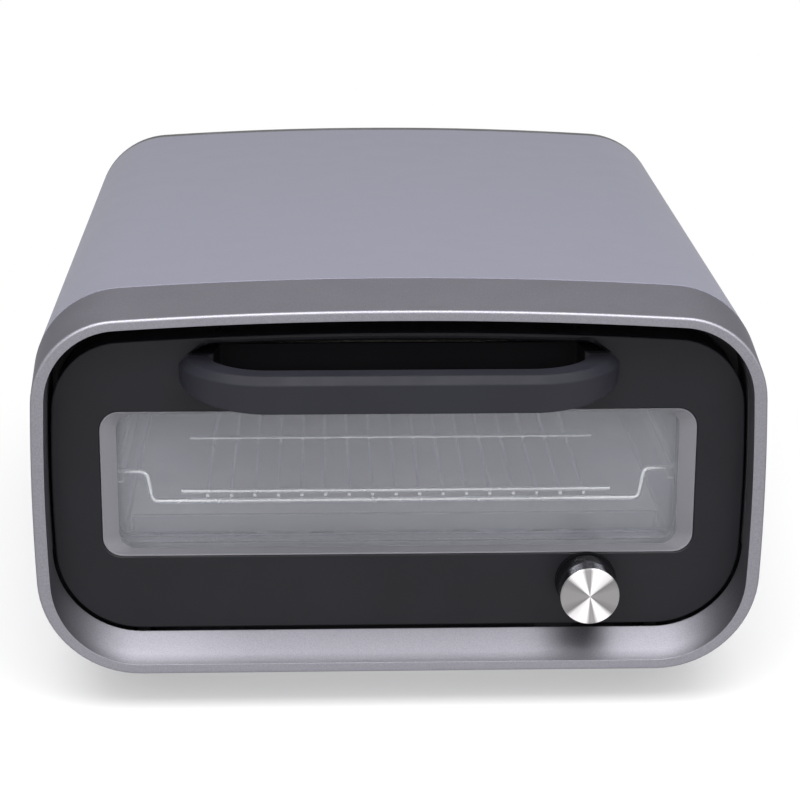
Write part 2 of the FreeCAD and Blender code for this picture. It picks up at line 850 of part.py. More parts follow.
def make_heat_shield():
    """Sheet arch over the insulation that leaves an air way under the shell."""
    half = cavity_width / 2.0 + sheet + insulation_thickness
    y0 = frame_rear
    y1 = cavity_rear + sheet + insulation_thickness + 4.0
    top = cavity_top + sheet + insulation_thickness
    base = foot_height + 2.0 * sheet + 0.3
    g = shield_sheet
    outer = rounded_block(-half - g, half + g, y0, y1, base - 30.0, top + g, cavity_radius + 17.0 + g)
    inner = rounded_block(-half, half, y0 - 1, y1 + 1, base - 31.0, top, cavity_radius + 17.0)
    arch = outer.cut(inner)
    return arch.cut(box(-shell_width, shell_width, y0 - 2, y1 + 2, base - 60.0, front_base + shield_foot_lift))


# Rear bay

def make_fan_housing():
    """Blower casing round the fan, open to the rear and with an outlet that blows up over the cavity."""
    y0 = fan_front()
    z = fan_height()
    r = fan_radius + 8.0
    drum = Part.makeCylinder(r, fan_depth + 4.0, Vector(fan_offset, y0, z), Vector(0, 1, 0))
    duct_top = front_base + duct_top_lift
    duct = box(fan_offset - r, fan_offset + 6.0, y0, y0 + fan_depth + 4.0, z, duct_top)
    outer = drum.fuse(duct)
    drum_in = Part.makeCylinder(r - 1.5, fan_depth + 1.0, Vector(fan_offset, y0 + 1.5, z), Vector(0, 1, 0))
    duct_in = box(fan_offset - r + 1.5, fan_offset + 4.5, y0 + 1.5, y0 + fan_depth + 2.5, z, duct_top + 4.0)
    eye = Part.makeCylinder(fan_radius - 8.0, 20, Vector(fan_offset, y0 + fan_depth - 4, z), Vector(0, 1, 0))
    body = cut(outer, [drum_in.fuse(duct_in), eye])
    motor_hole = Part.makeCylinder(fan_shaft_radius + 2.0, 20, Vector(fan_offset, y0 - 5, z), Vector(0, 1, 0))
    return body.cut(motor_hole)


def fan_front():
    return cavity_rear + sheet + insulation_thickness + 31.0


def make_fan_motor():
    y1 = fan_front()
    z = fan_height()
    can = Part.makeCylinder(17.0, 20.0, Vector(fan_offset, y1 - 20.0, z), Vector(0, 1, 0))
    plate = rounded_block(fan_offset - 24.0, fan_offset + 24.0, y1 - 2.0, y1, z - 10.0, z + 10.0, 4.0)
    foot = box(fan_offset - 24.0, fan_offset + 24.0, bracket_rear(), y1 - 20.0, z - 9.0, z + 9.0)
    body = fuse([can, plate, foot])
    bore = Part.makeCylinder(fan_shaft_radius + shaft_fit, 40, Vector(fan_offset, y1 - 16.0, z), Vector(0, 1, 0))
    return body.cut(bore)


def make_fan_impeller():
    y0 = fan_front() + 4.0
    z = fan_height()
    depth = fan_depth - 8.0
    hub = Part.makeCylinder(8.0, 8.0, Vector(fan_offset, y0, z), Vector(0, 1, 0))
    disc = Part.makeCylinder(fan_radius, 1.5, Vector(fan_offset, y0, z), Vector(0, 1, 0))
    hoop = Part.makeCylinder(fan_radius, 2.0, Vector(fan_offset, y0 + depth - 2.0, z), Vector(0, 1, 0))
    hoop = hoop.cut(Part.makeCylinder(fan_radius - 9.0, 6.0, Vector(fan_offset, y0 + depth - 4.0, z), Vector(0, 1, 0)))
    pieces = [hub, disc, hoop]
    for i in range(fan_blades):
        blade = box(fan_radius - 8.5, fan_radius - 0.5, 0, depth - 1.0, -0.6, 0.6)
        blade.rotate(Vector(fan_radius - 0.5, 0, 0), Vector(0, 1, 0), 28.0)
        blade.rotate(Vector(0, 0, 0), Vector(0, 1, 0), 360.0 * i / fan_blades)
        blade.translate(Vector(fan_offset, y0 + 0.5, z))
        pieces.append(blade.common(Part.makeCylinder(fan_radius, 60, Vector(fan_offset, y0, z), Vector(0, 1, 0))))
    shaft = Part.makeCylinder(fan_shaft_radius, 22.0, Vector(fan_offset, fan_front() - 14.0, z), Vector(0, 1, 0))
    pieces.append(shaft)
    return fuse(pieces)


def board_y():
    return cavity_rear + sheet + insulation_thickness + 26.0


def make_fan_bracket():
    """Upright plate across the rear bay that carries the blower and the power board."""
    y = bracket_rear() - bay_sheet
    z0 = foot_height + sheet
    wide = bay_half_width
    narrow = bay_foot_half_width
    plate = box(-wide, wide, y, y + bay_sheet, z0 + 12.0, front_base + 172.0)
    stem = box(-narrow, narrow, y, y + bay_sheet, z0, z0 + 13.0)
    foot = box(-narrow, narrow, y, y + 14.0, z0, z0 + bay_sheet)
    body = fuse([plate, stem, foot])
    windows = [Part.makeCylinder(6.0, 6, Vector(probe_x, y - 1, probe_z), Vector(0, 1, 0))]
    for x, z in element_ports():
        windows.append(box(x - 12.0, x + 12.0, y - 1, y + 3, z - 8.0, z + 8.0))
    return cut(body, windows)


def bracket_rear():
    return cavity_rear + sheet + insulation_thickness + bay_gap + bay_sheet


def make_power_board():
    y = board_y()
    z0 = front_base + 30.0
    left = board_offset - board_width / 2.0
    plate = box(left, left + board_width, y, y + board_thickness, z0, z0 + board_height)
    for x, z in board_holes():
        plate = plate.cut(Part.makeCylinder(screw_radius, 10, Vector(x, y - 4, z), Vector(0, 1, 0)))
    return plate


def board_holes():
    z0 = front_base + 30.0
    xs = (board_offset - board_width / 2.0 + 6.0, board_offset + board_width / 2.0 - 6.0)
    return [(x, z) for x in xs for z in (z0 + 6.0, z0 + board_height - 6.0)]


def make_board_standoffs():
    posts = []
    for x, z in board_holes():
        post = Part.makeCylinder(4.0, board_y() - bracket_rear(), Vector(x, bracket_rear(), z), Vector(0, 1, 0))
        peg_start = Vector(x, board_y() - 0.5, z)
        peg = Part.makeCylinder(screw_radius - 0.05, board_thickness + 3.0, peg_start, Vector(0, 1, 0))
        posts.append(post.fuse(peg))
    return group(posts)


def make_power_components():
    """Relays, transformer, capacitors and heat sink that stand on the power board."""
    y = board_y() + board_thickness
    z0 = front_base + 30.0
    left = board_offset - board_width / 2.0
    pieces = []
    for i in range(3):
        pieces.append(box(left + 16.0 + i * 26.0, left + 36.0 + i * 26.0, y, y + 16.0, z0 + 60.0, z0 + 76.0))
    pieces.append(box(left + 96.0, left + 134.0, y, y + 26.0, z0 + 50.0, z0 + 80.0))
    for i in range(2):
        pieces.append(Part.makeCylinder(7.0, 22.0, Vector(left + 26.0 + i * 22.0, y, z0 + 34.0), Vector(0, 1, 0)))
    sink = box(left + 72.0, left + 134.0, y, y + 3.0, z0 + 12.0, z0 + 40.0)
    fins = [box(left + 72.0 + i * 9.8, left + 74.0 + i * 9.8, y + 1.0, y + 20.0, z0 + 12.0, z0 + 40.0) for i in range(7)]
    pieces.append(fuse([sink] + fins))
    return group(pieces)


def make_thermocouple():
    body = rod(Vector(probe_x, cavity_rear - 46.0, probe_z), Vector(probe_x, cavity_rear + sheet + 26.0, probe_z), 1.6)
    collar = rod(Vector(probe_x, cavity_rear + sheet, probe_z), Vector(probe_x, cavity_rear + sheet + 2.0, probe_z), 4.6)
    return body.fuse(collar)


def make_safety_thermostat():
    """Round thermal cut-out clipped on the bracket plate behind the cavity."""
    y = bracket_rear()
    z = front_base + 150.0
    base = rod(Vector(0, y, z), Vector(0, y + 3.0, z), 12.0)
    can = rod(Vector(0, y + 2.0, z), Vector(0, y + 12.0, z), 9.0)
    tabs = box(-8.0, 8.0, y + 11.0, y + 20.0, z - 0.5, z + 0.5)
    return fuse([base, can, tabs])


def make_rear_screws():
    seat = body_depth - rear_screw_sink
    return [screw(Vector(x, seat, z), Vector(0, -1, 0), 16.0) for x, z, out in rear_screw_places()]


# Door

def door_outline(depth, grow=0.0):
    return outline(depth, door_inset_side - grow, door_inset_top - grow, door_inset_bottom - grow)


def window_wire(depth, side=0.0, low=0.0, high=0.0, shrink=0.0):
    half = window_width / 2.0 - side
    return rounded_wire(-half, half, window_base + low, window_base + window_height - high, window_radius - shrink, depth)


def recess_wire(depth, inset):
    """Finger recess: arched top, slanted upper corners down to the handle's roots, narrower below them."""
    top = door_base + recess_top_lift - inset
    shoulder = top - shell_crown * (recess_width / shell_width) ** 2
    step = door_base + handle_top_lift + recess_step + inset * 0.3
    low = door_base + recess_top_lift - recess_height + inset
    wide = recess_end_half_width - inset
    top_half = recess_width / 2.0 - inset * 0.9
    narrow = handle_width / 2.0 - handle_section_depth - recess_root_gap - inset
    right = [
        Vector(narrow, depth, low), Vector(narrow, depth, step), Vector(wide, depth, step), Vector(top_half, depth, shoulder),
    ]
    left = [Vector(-point.x, depth, point.z) for point in reversed(right)]
    arch = Part.Arc(right[-1], Vector(0, depth, top), left[0]).toShape()
    sides = []
    for points in (right, left):
        sides.append([Part.LineSegment(a, b).toShape() for a, b in zip(points, points[1:])])
    base = Part.LineSegment(left[-1], right[0]).toShape()
    return Part.Wire(sides[0] + [arch] + sides[1] + [base])


def make_door_panel():
    """Moulded front panel: a shallow pan with a chamfered edge, window, recess and knob openings."""
    skin_rear = door_front + door_depth - inner_frame_wall - 0.3
    body = ruled([
        door_outline(door_front, -door_edge),
        door_outline(door_front + door_edge),
        door_outline(skin_rear),
    ])
    hollow = prism(door_outline(door_front + door_wall, -door_wall), skin_rear)
    body = body.cut(hollow)
    window = prism(window_wire(door_front - 1), door_wall + 2)
    recess = ruled([recess_wire(door_front, 0), recess_wire(door_front + door_wall, recess_lip)])
    shaft_hole = Part.makeCylinder(shaft_radius + 2.5, 20, Vector(knob_offset, door_front - 5, knob_z), Vector(0, 1, 0))
    body = cut(body, [window, recess, shaft_hole])
    arm_slots = []
    for side in (-1, 1):
        x = side * hinge_offset
        w = hinge_arm_thickness / 2.0 + 0.4
        arm_slots.append(box(
            x - w, x + w, hinge_post_depth - 4.0, hinge_post_depth + 9.0, door_base - 1, door_base + door_wall + 1
        ))
    arm_slots.append(box(cable_x - 10.0, cable_x + 10.0, 27.0, 38.0, door_base - 1, door_base + door_wall + 1))
    body = cut(body, arm_slots)
    for x, z in handle_screw_places():
        body = body.cut(Part.makeCylinder(handle_screw_radius + 0.2, 20, Vector(x, door_front - 5, z), Vector(0, 1, 0)))
    boss_front = door_front + door_wall / 2.0
    for x, z in door_screw_places():
        boss = Part.makeCylinder(4.0, door_rear - inner_frame_wall - boss_front, Vector(x, boss_front, z), Vector(0, 1, 0))
        body = body.fuse(boss)
        body = body.cut(Part.makeCylinder(screw_radius + thread_fit, 12, Vector(x, door_rear - 12.0, z), Vector(0, 1, 0)))
    return body


def handle_centre_z():
    return door_base + handle_top_lift - (handle_section_height - handle_rise) / 2.0


def handle_screw_places():
    x = handle_width / 2.0 - handle_section_depth / 2.0
    return [(-x, handle_centre_z()), (x, handle_centre_z())]


def make_recess_cup():
    """Drafted cup behind the recess opening, with a flange against the back of the panel."""
    y0 = door_front + door_wall
    y1 = y0 + recess_depth
    outer = ruled([
        recess_wire(y0, recess_lip - recess_wall),
        recess_wire(y1 + recess_wall, recess_lip + recess_draft - recess_wall),
    ])
    inner = ruled([recess_wire(y0, recess_lip), recess_wire(y1, recess_lip + recess_draft)])
    flange = Part.Face(recess_wire(y0, recess_lip - recess_flange)).extrude(Vector(0, recess_wall, 0))
    room = prism(door_outline(y0, -door_wall - contact_gap), door_depth)
    body = outer.fuse(flange).common(room)
    body = body.cut(inner)
    for x, z in handle_screw_places():
        body = body.cut(Part.makeCylinder(handle_screw_radius + 4.5, 60, Vector(x, y0 - 10, z), Vector(0, 1, 0)))
    return body.removeSplitter()


def make_handle_bar():
    """D-shaped bar handle: chamfered along its outer edges, its underside rising towards the door."""
    top = door_base + handle_top_lift
    low = top - handle_section_height
    half = handle_width / 2.0
    front = handle_front
    rear = door_front

    def plan(inset):
        r = handle_corner_radius - inset
        flat = half - inset - r
        centre_y = front + inset + r
        begin = math.asin(max(0.0, centre_y - rear) / r)

        def on_arc(side, angle):
            return Vector(side * (flat + r * math.cos(angle)), centre_y - r * math.sin(angle), low)

        edges = []
        for side in (-1, 1):
            root = on_arc(side, begin)
            middle = on_arc(side, (begin + math.pi / 2.0) / 2.0)
            edges.append(Part.Arc(root, middle, on_arc(side, math.pi / 2.0)).toShape())
            if root.y < rear - 1e-6:
                edges.append(Part.LineSegment(root, Vector(root.x, rear, low)).toShape())
        edges.append(Part.LineSegment(on_arc(-1, math.pi / 2.0), on_arc(1, math.pi / 2.0)).toShape())
        wide = on_arc(1, begin).x
        edges.append(Part.LineSegment(Vector(-wide, rear, low), Vector(wide, rear, low)).toShape())
        return Part.Face(Part.Wire(Part.__sortEdges__(edges)))

    slope = handle_rise / (rear - front)

    def underside(y):
        return low + (y - front) * slope

    def edges_on(solid, height):
        found = []
        for edge in solid.Edges:
            span = edge.LastParameter - edge.FirstParameter
            places = [edge.valueAt(edge.FirstParameter + span * part) for part in (0, 0.5, 1)]
            on_height = all(abs(place.z - height(place.y)) < 1e-5 for place in places)
            if on_height and min(place.y for place in places) < rear - 1e-3:
                found.append(edge)
        return found

    wedge = [
        Vector(-half - 1, front - 1, low - 1), Vector(-half - 1, rear + 1, low - 1),
        Vector(-half - 1, rear + 1, underside(rear + 1)), Vector(-half - 1, front - 1, underside(front - 1)),
    ]
    below = Part.Face(Part.makePolygon(wedge + [wedge[0]])).extrude(Vector(handle_width + 2, 0, 0))
    body = plan(0).extrude(Vector(0, 0, handle_section_height)).cut(below).Solids[0]
    body = body.makeChamfer(handle_chamfer, edges_on(body, lambda y: top))
    body = body.makeChamfer(handle_low_chamfer, edges_on(body, underside))
    inner = plan(handle_section_depth).extrude(Vector(0, 0, handle_section_height))
    body = body.cut(inner)
    for x, z in handle_screw_places():
        body = body.cut(Part.makeCylinder(handle_screw_radius, 16, Vector(x, rear - 15, z), Vector(0, 1, 0)))
    return body


def make_handle_screws():
    screws = []
    for x, z in handle_screw_places():
        head_y = door_front + door_wall
        head = Part.makeCylinder(4.2, 3.0, Vector(x, head_y, z), Vector(0, 1, 0))
        tip = Vector(x, door_front - 14.0, z)
        shank = Part.makeCylinder(handle_screw_radius - 0.05, 14.0 + door_wall, tip, Vector(0, 1, 0))
        screws.append(head.fuse(shank))
    return group(screws)


def make_window_bezel():
    """Sloping metal frame from the panel's window edge back to the outer glass."""
    y0 = door_front + 0.4
    y1 = y0 + bezel_depth
    front = window_wire(y0, 0.3, 0.3, 0.3)
    rear = window_wire(y1, bezel_side, bezel_bottom, bezel_top)
    void = ruled([front, rear])
    w = bezel_wall
    skin = ruled([
        window_wire(y0, 0.3, 0.3, 0.3),
        window_wire(door_front + door_wall, 0.3, 0.3, 0.3),
        window_wire(y1, bezel_side - w, bezel_bottom - w, bezel_top - w),
    ])
    flange_y = door_front + door_wall
    flange = prism(window_wire(flange_y, -bezel_flange, -bezel_flange, -bezel_flange), 1.2)
    seat = prism(window_wire(y1 - 1.2, -1.0, -1.0, -1.0), 1.2)
    body = fuse([skin, flange, seat])
    body = body.cut(void)
    body = body.cut(prism(window_wire(y1 - 3, bezel_side, bezel_bottom, bezel_top), 5))
    return body


def glass_box(y0, thickness, margin, radius):
    half = window_width / 2.0 - bezel_side + margin
    low = window_base + bezel_bottom - margin
    high = window_base + window_height - bezel_top + margin
    return rounded_block(-half, half, y0, y0 + thickness, low, high, radius)


def outer_glass_y():
    return door_front + 0.4 + bezel_depth


def inner_glass_y():
    return outer_glass_y() + outer_glass_thickness + glass_gap


def make_inner_frame():
    """Steel back of the door: flat plate with a stepped window opening that the inner glass sits in."""
    y1 = door_rear
    y0 = y1 - inner_frame_wall
    plate = prism(door_outline(y0, -0.2), inner_frame_wall)
    half = window_width / 2.0 - bezel_side + 2.0
    z0 = window_base + bezel_bottom - 2.0
    z1 = window_base + window_height - bezel_top + 2.0
    hole = rounded_block(-half, half, y0 - 1, y1 + 1, z0, z1, 9.0)
    glass_end = inner_glass_y() + inner_glass_thickness
    rim = rounded_block(-half - 6.0, half + 6.0, glass_end, y0 + 0.5, z0 - 6.0, z1 + 6.0, 12.0)
    rim = rim.cut(rounded_block(-half, half, glass_end - 1, y1, z0, z1, 9.0))
    body = plate.cut(hole).fuse(rim)
    for side in (-1, 1):
        body = body.fuse(arm_pocket(side))
    for x, z in door_screw_places():
        body = body.cut(Part.makeCylinder(screw_radius + 0.2, 10, Vector(x, y0 - 4, z), Vector(0, 1, 0)))
    return body


def arm_pocket(side):
    """Folded tab that joins the hinge arm's post to the door's back."""
    x = side * hinge_offset
    w = hinge_arm_thickness / 2.0
    rear = door_rear - inner_frame_wall / 2.0
    return box(x - w, x + w, hinge_post_depth + hinge_post_rear, rear, door_base + 12.0, door_base + 15.0)


def make_glass_spacer():
    """Frame between the two glasses that also closes the gap at their edges."""
    y0 = outer_glass_y() + outer_glass_thickness
    half = window_width / 2.0 - bezel_side
    z0 = window_base + bezel_bottom
    z1 = window_base + window_height - bezel_top
    outer = rounded_block(-half - 8.0, half + 8.0, y0, y0 + glass_gap, z0 - 8.0, z1 + 8.0, 14.0)
    inner = rounded_block(-half - 2.0, half + 2.0, y0 - 1, y0 + glass_gap + 1, z0 - 2.0, z1 + 2.0, 10.0)
    return outer.cut(inner)


def make_door_insulation():
    """Fibre strips at the top of the door, between the cup and the back."""
    y0 = door_front + door_wall + recess_depth + recess_wall + 0.5
    y1 = door_rear - inner_frame_wall
    z0 = window_base + window_height + 18.0
    z1 = door_top - door_wall - 12.0
    half = window_width / 2.0 - door_fill_inset
    return rounded_block(-half, half, y0, y1, z0, z1, 6.0)


def make_hinge_arm(side):
    """Goose-neck arm: an eye round the pin, a neck that dips behind the ledge, a post into the door."""
    x = side * hinge_offset
    w = hinge_arm_thickness / 2.0
    eye_y, eye_z = hinge_depth, hinge_z
    neck_z = front_base + hinge_neck_lift
    post_y = hinge_post_depth
    half = hinge_neck / 2.0
    points = [
        Vector(x - w, eye_y, eye_z - hinge_eye_radius),
        Vector(x - w, eye_y + 4.0, neck_z - half + 0.4),
        Vector(x - w, post_y, neck_z - half),
        Vector(x - w, post_y + hinge_post_rear, neck_z + 1.0),
        Vector(x - w, post_y + hinge_post_rear, door_base + 30.0),
        Vector(x - w, post_y - hinge_post_front, door_base + 30.0),
        Vector(x - w, post_y - hinge_post_front, neck_z + half + 3.0),
        Vector(x - w, post_y - 4.0, neck_z + half),
        Vector(x - w, eye_y + 7.0, neck_z + half),
        Vector(x - w, eye_y + 2.6, eye_z + 1.2),
        Vector(x - w, eye_y, eye_z + 1.8),
    ]
    plate = Part.Face(Part.makePolygon(points + [points[0]])).extrude(Vector(2.0 * w, 0, 0))
    eye = Part.makeCylinder(hinge_eye_radius, 2.0 * w, Vector(x - w, eye_y, eye_z), Vector(1, 0, 0))
    body = fuse([plate, eye])
    bore = Part.makeCylinder(hinge_pin_radius + hinge_fit, 40, Vector(x - 20, eye_y, eye_z), Vector(1, 0, 0))
    return body.cut(bore)


def make_hinge_bracket(side):
    """U-shaped bracket under the ledge that holds the hinge pin, with a foot back to the face frame."""
    x = side * hinge_offset
    inner = hinge_arm_thickness / 2.0 + hinge_side_gap
    outer = inner + hinge_ear_thickness
    z0 = front_base + 1.6
    z1 = hinge_z + 3.4
    ears = []
    for s in (-1, 1):
        xa = x + s * inner
        xb = x + s * outer
        points = [
            Vector(min(xa, xb), hinge_depth - 3.4, hinge_z - 3.0),
            Vector(min(xa, xb), hinge_depth + 2.0, z0),
            Vector(min(xa, xb), frame_front, z0),
            Vector(min(xa, xb), frame_front, z0 + hinge_bracket_height),
            Vector(min(xa, xb), frame_front - 6.0, z0 + hinge_bracket_height),
            Vector(min(xa, xb), hinge_depth + 14.0, hinge_z + 1.5),
            Vector(min(xa, xb), hinge_depth + 2.5, hinge_z + 3.0),
            Vector(min(xa, xb), hinge_depth - 3.4, hinge_z + 1.0),
        ]
        ear = Part.Face(Part.makePolygon(points + [points[0]])).extrude(Vector(hinge_ear_thickness, 0, 0))
        ears.append(ear)
    back = box(x - outer, x + outer, frame_front - 1.5, frame_front, z0, z0 + hinge_bracket_height)
    body = fuse(ears + [back])
    bore = Part.makeCylinder(hinge_pin_radius + 0.02, 60, Vector(x - 30, hinge_depth, hinge_z), Vector(1, 0, 0))
    return body.cut(bore)


def make_hinge_pin(side):
    x = side * hinge_offset
    reach = hinge_arm_thickness / 2.0 + hinge_side_gap + hinge_ear_thickness + 1.0
    return Part.makeCylinder(hinge_pin_radius, 2.0 * reach, Vector(x - reach, hinge_depth, hinge_z), Vector(1, 0, 0))


def make_cable_cover():
    """Flat tongue under the door's edge that guides the control cable."""
    z1 = door_base
    tongue = rounded_block(cable_x - 11.5, cable_x + 11.5, door_front + 1.0, door_front + 3.0, z1 - 1.9, z1 + 1.0, 0.8)
    sole = box(cable_x - 11.5, cable_x + 11.5, door_front + 2.0, 40.0, z1 - 1.6, z1)
    neck = box(cable_x - 9.0, cable_x + 9.0, 28.0, 37.0, z1 - 0.8, z1 + 6.0)
    tongue = tongue.common(box(cable_x - 20, cable_x + 20, 0, 60, z1 - 5, z1))
    return fuse([tongue, sole, neck])


def make_control_board():
    y = control_board_y()
    z0 = door_base + 6.0
    z1 = window_base - 10.0
    board = box(-60.0, knob_offset + 24.0, y, y + board_thickness, z0, z1)
    board = board.cut(Part.makeCylinder(shaft_radius + 2.6, 10, Vector(knob_offset, y - 4, knob_z), Vector(0, 1, 0)))
    chips = [
        box(10.0, 26.0, y + board_thickness, y + board_thickness + 2.4, z0 + 10.0, z0 + 20.0),
        box(-50.0, -12.0, y - 4.0, y, z0 + 8.0, z0 + 22.0),
        box(50.0, 66.0, y + board_thickness, y + board_thickness + 8.0, z0 + 6.0, z0 + 14.0),
    ]
    return fuse([board] + chips)


def control_board_y():
    return door_front + door_wall + 9.0


def make_board_posts():
    posts = []
    y0 = door_front + door_wall
    z0 = door_base + 6.0
    for x in (-54.0, 40.0, knob_offset + 18.0):
        posts.append(Part.makeCylinder(3.0, control_board_y() - y0, Vector(x, y0, z0 + 4.0), Vector(0, 1, 0)))
    return group(posts)


def make_encoder_body():
    y0 = door_front + door_wall
    y1 = control_board_y()
    r = 7.5
    block = box(knob_offset - r, knob_offset + r, y0, y1, knob_z - r, knob_z + r)
    inner = r - 1.2
    block = block.cut(box(knob_offset - inner, knob_offset + inner, y0 + 4.2, y1 + 1, knob_z - inner, knob_z + inner))
    bush = Part.makeCylinder(5.0, door_wall + 3.5, Vector(knob_offset, door_front - 3.0, knob_z), Vector(0, 1, 0))
    body = block.fuse(bush)
    bore_start = Vector(knob_offset, door_front - 10, knob_z)
    return body.cut(Part.makeCylinder(shaft_radius + shaft_fit, 60, bore_start, Vector(0, 1, 0)))


def make_encoder_plunger():
    """Sliding block in the encoder that carries the shaft and closes the push switch."""
    y0 = door_front + door_wall + 4.2 + contact_gap
    half = 7.5 - 1.2 - contact_gap
    block = box(knob_offset - half, knob_offset + half, y0, y0 + 2.4, knob_z - half, knob_z + half)
    bore_start = Vector(knob_offset, y0 - 5, knob_z)
    return block.cut(Part.makeCylinder(shaft_radius - 1.0 + shaft_fit, 20, bore_start, Vector(0, 1, 0)))


def make_knob_shaft():
    y_knob = door_front - 14.0
    y_shoulder = door_front + door_wall + 4.2 + contact_gap - 0.2
    shaft = Part.makeCylinder(shaft_radius, y_shoulder - y_knob, Vector(knob_offset, y_knob, knob_z), Vector(0, 1, 0))
    tip = Part.makeCylinder(shaft_radius - 1.0, 2.4 + 0.2 + 0.6, Vector(knob_offset, y_shoulder, knob_z), Vector(0, 1, 0))
    flat = box(knob_offset - 5, knob_offset + 5, y_knob - 1, y_knob + 10.0, knob_z + shaft_radius - 0.8, knob_z + 5)
    return shaft.fuse(tip).cut(flat)


def knob_front():
    return door_front - knob_length - knob_travel - knob_gap


def make_knob_skirt():
    """Black hollow knob body with a socket for the shaft and thin inner ribs."""
    y0 = knob_front() + knob_cap_thickness
    y1 = door_front - knob_collar_height - knob_travel - knob_gap
    body = Part.makeCylinder(knob_radius, y1 - y0, Vector(knob_offset, y0, knob_z), Vector(0, 1, 0))
    hollow = Part.makeCylinder(knob_radius - 2.2, y1 - y0, Vector(knob_offset, y0 + 3.0, knob_z), Vector(0, 1, 0))
    body = body.cut(hollow)
    hub = Part.makeCylinder(6.0, y1 - y0 - 5.0, Vector(knob_offset, y0, knob_z), Vector(0, 1, 0))
    ribs = []
    for i in range(3):
        rib = box(5.0, knob_radius - 1.0, 0, y1 - y0 - 8.0, -0.8, 0.8)
        rib.rotate(Vector(0, 0, 0), Vector(0, 1, 0), 120.0 * i + 90.0)
        rib.translate(Vector(knob_offset, y0 + 1.0, knob_z))
        ribs.append(rib)
    body = fuse([body, hub] + ribs)
    y_knob = door_front - 14.0
    socket = Part.makeCylinder(shaft_radius, 40, Vector(knob_offset, y_knob, knob_z), Vector(0, 1, 0))
    flat = box(knob_offset - 5, knob_offset + 5, y_knob - 1, y_knob + 10.0, knob_z + shaft_radius - 0.8, knob_z + 5)
    return body.cut(socket.cut(flat))


def make_knob_cap():
    """Spun aluminium cap: a shallow cup over the skirt's front."""
    y0 = knob_front()
    profile = [
        Vector(0, y0, 0),
        Vector(knob_radius - 1.0, y0, 0),
        Vector(knob_radius, y0 + 1.0, 0),
        Vector(knob_radius, y0 + knob_cap_thickness, 0),
        Vector(0, y0 + knob_cap_thickness, 0),
    ]
    cap = Part.Face(Part.makePolygon(profile + [profile[0]])).revolve(Vector(0, 0, 0), Vector(0, 1, 0), 360)
    cap.translate(Vector(knob_offset, 0, knob_z))
    return cap


def make_knob_collar():
    """Raised ring on the panel that the knob stands in."""
    y0 = door_front - knob_collar_height
    ring = Part.makeCylinder(knob_collar_radius, knob_collar_height, Vector(knob_offset, y0, knob_z), Vector(0, 1, 0))
    return ring.cut(Part.makeCylinder(5.6, 10, Vector(knob_offset, y0 - 4, knob_z), Vector(0, 1, 0)))


def make_door_screws():
    return group([screw(Vector(x, door_rear, z), Vector(0, -1, 0), 8.0) for x, z in door_screw_places()])


def door_screw_places():
    x = shell_width / 2.0 - door_inset_side - door_wall - 6.0
    return [(side * x, z) for side in (-1, 1) for z in (door_base + 70.0, door_base + 125.0)]


# Rack

def make_rack_frame():
    """Dropped front and rear rods with raised ends, joined by two side rods that ride on the rails."""
    y0 = rack_front
    y1 = rack_front + rack_depth
    low = rack_low
    high = rack_high
    inner = rack_low_half_width
    step_x = inner + 11.0
    half = rack_half_width
    loop = [
        Vector(0, y0, low), Vector(inner + 3.0, y0, low), Vector(step_x, y0, high), Vector(half, y0, high),
        Vector(half, y1, high), Vector(step_x, y1, high), Vector(inner + 3.0, y1, low), Vector(0, y1, low),
    ]
    right = bent_rod(loop, rack_rod_radius, rack_bend)
    return fuse([right, mirrored(right)])


def make_rack_wires():
    """Round wires front to back, with cross rods on top that tie them."""
    wires = []
    z = rack_low + rack_rod_radius + rack_wire_radius + weld_gap
    start = rack_front - 1.0
    end = rack_front + rack_depth + 1.0
    first = -rack_wire_pitch * (rack_wire_count - 1) / 2.0
    for i in range(rack_wire_count):
        x = first + i * rack_wire_pitch
        wires.append(rod(Vector(x, start, z), Vector(x, end, z), rack_wire_radius))
    z_top = z + rack_wire_radius + rack_top_rod_radius + weld_gap
    reach = rack_low_half_width - 13.0
    for y in (rack_front, rack_front + rack_depth / 3.0, rack_front + 2.0 * rack_depth / 3.0, rack_front + rack_depth):
        wires.append(rod(Vector(-reach, y, z_top), Vector(reach, y, z_top), rack_top_rod_radius))
    return group(wires)


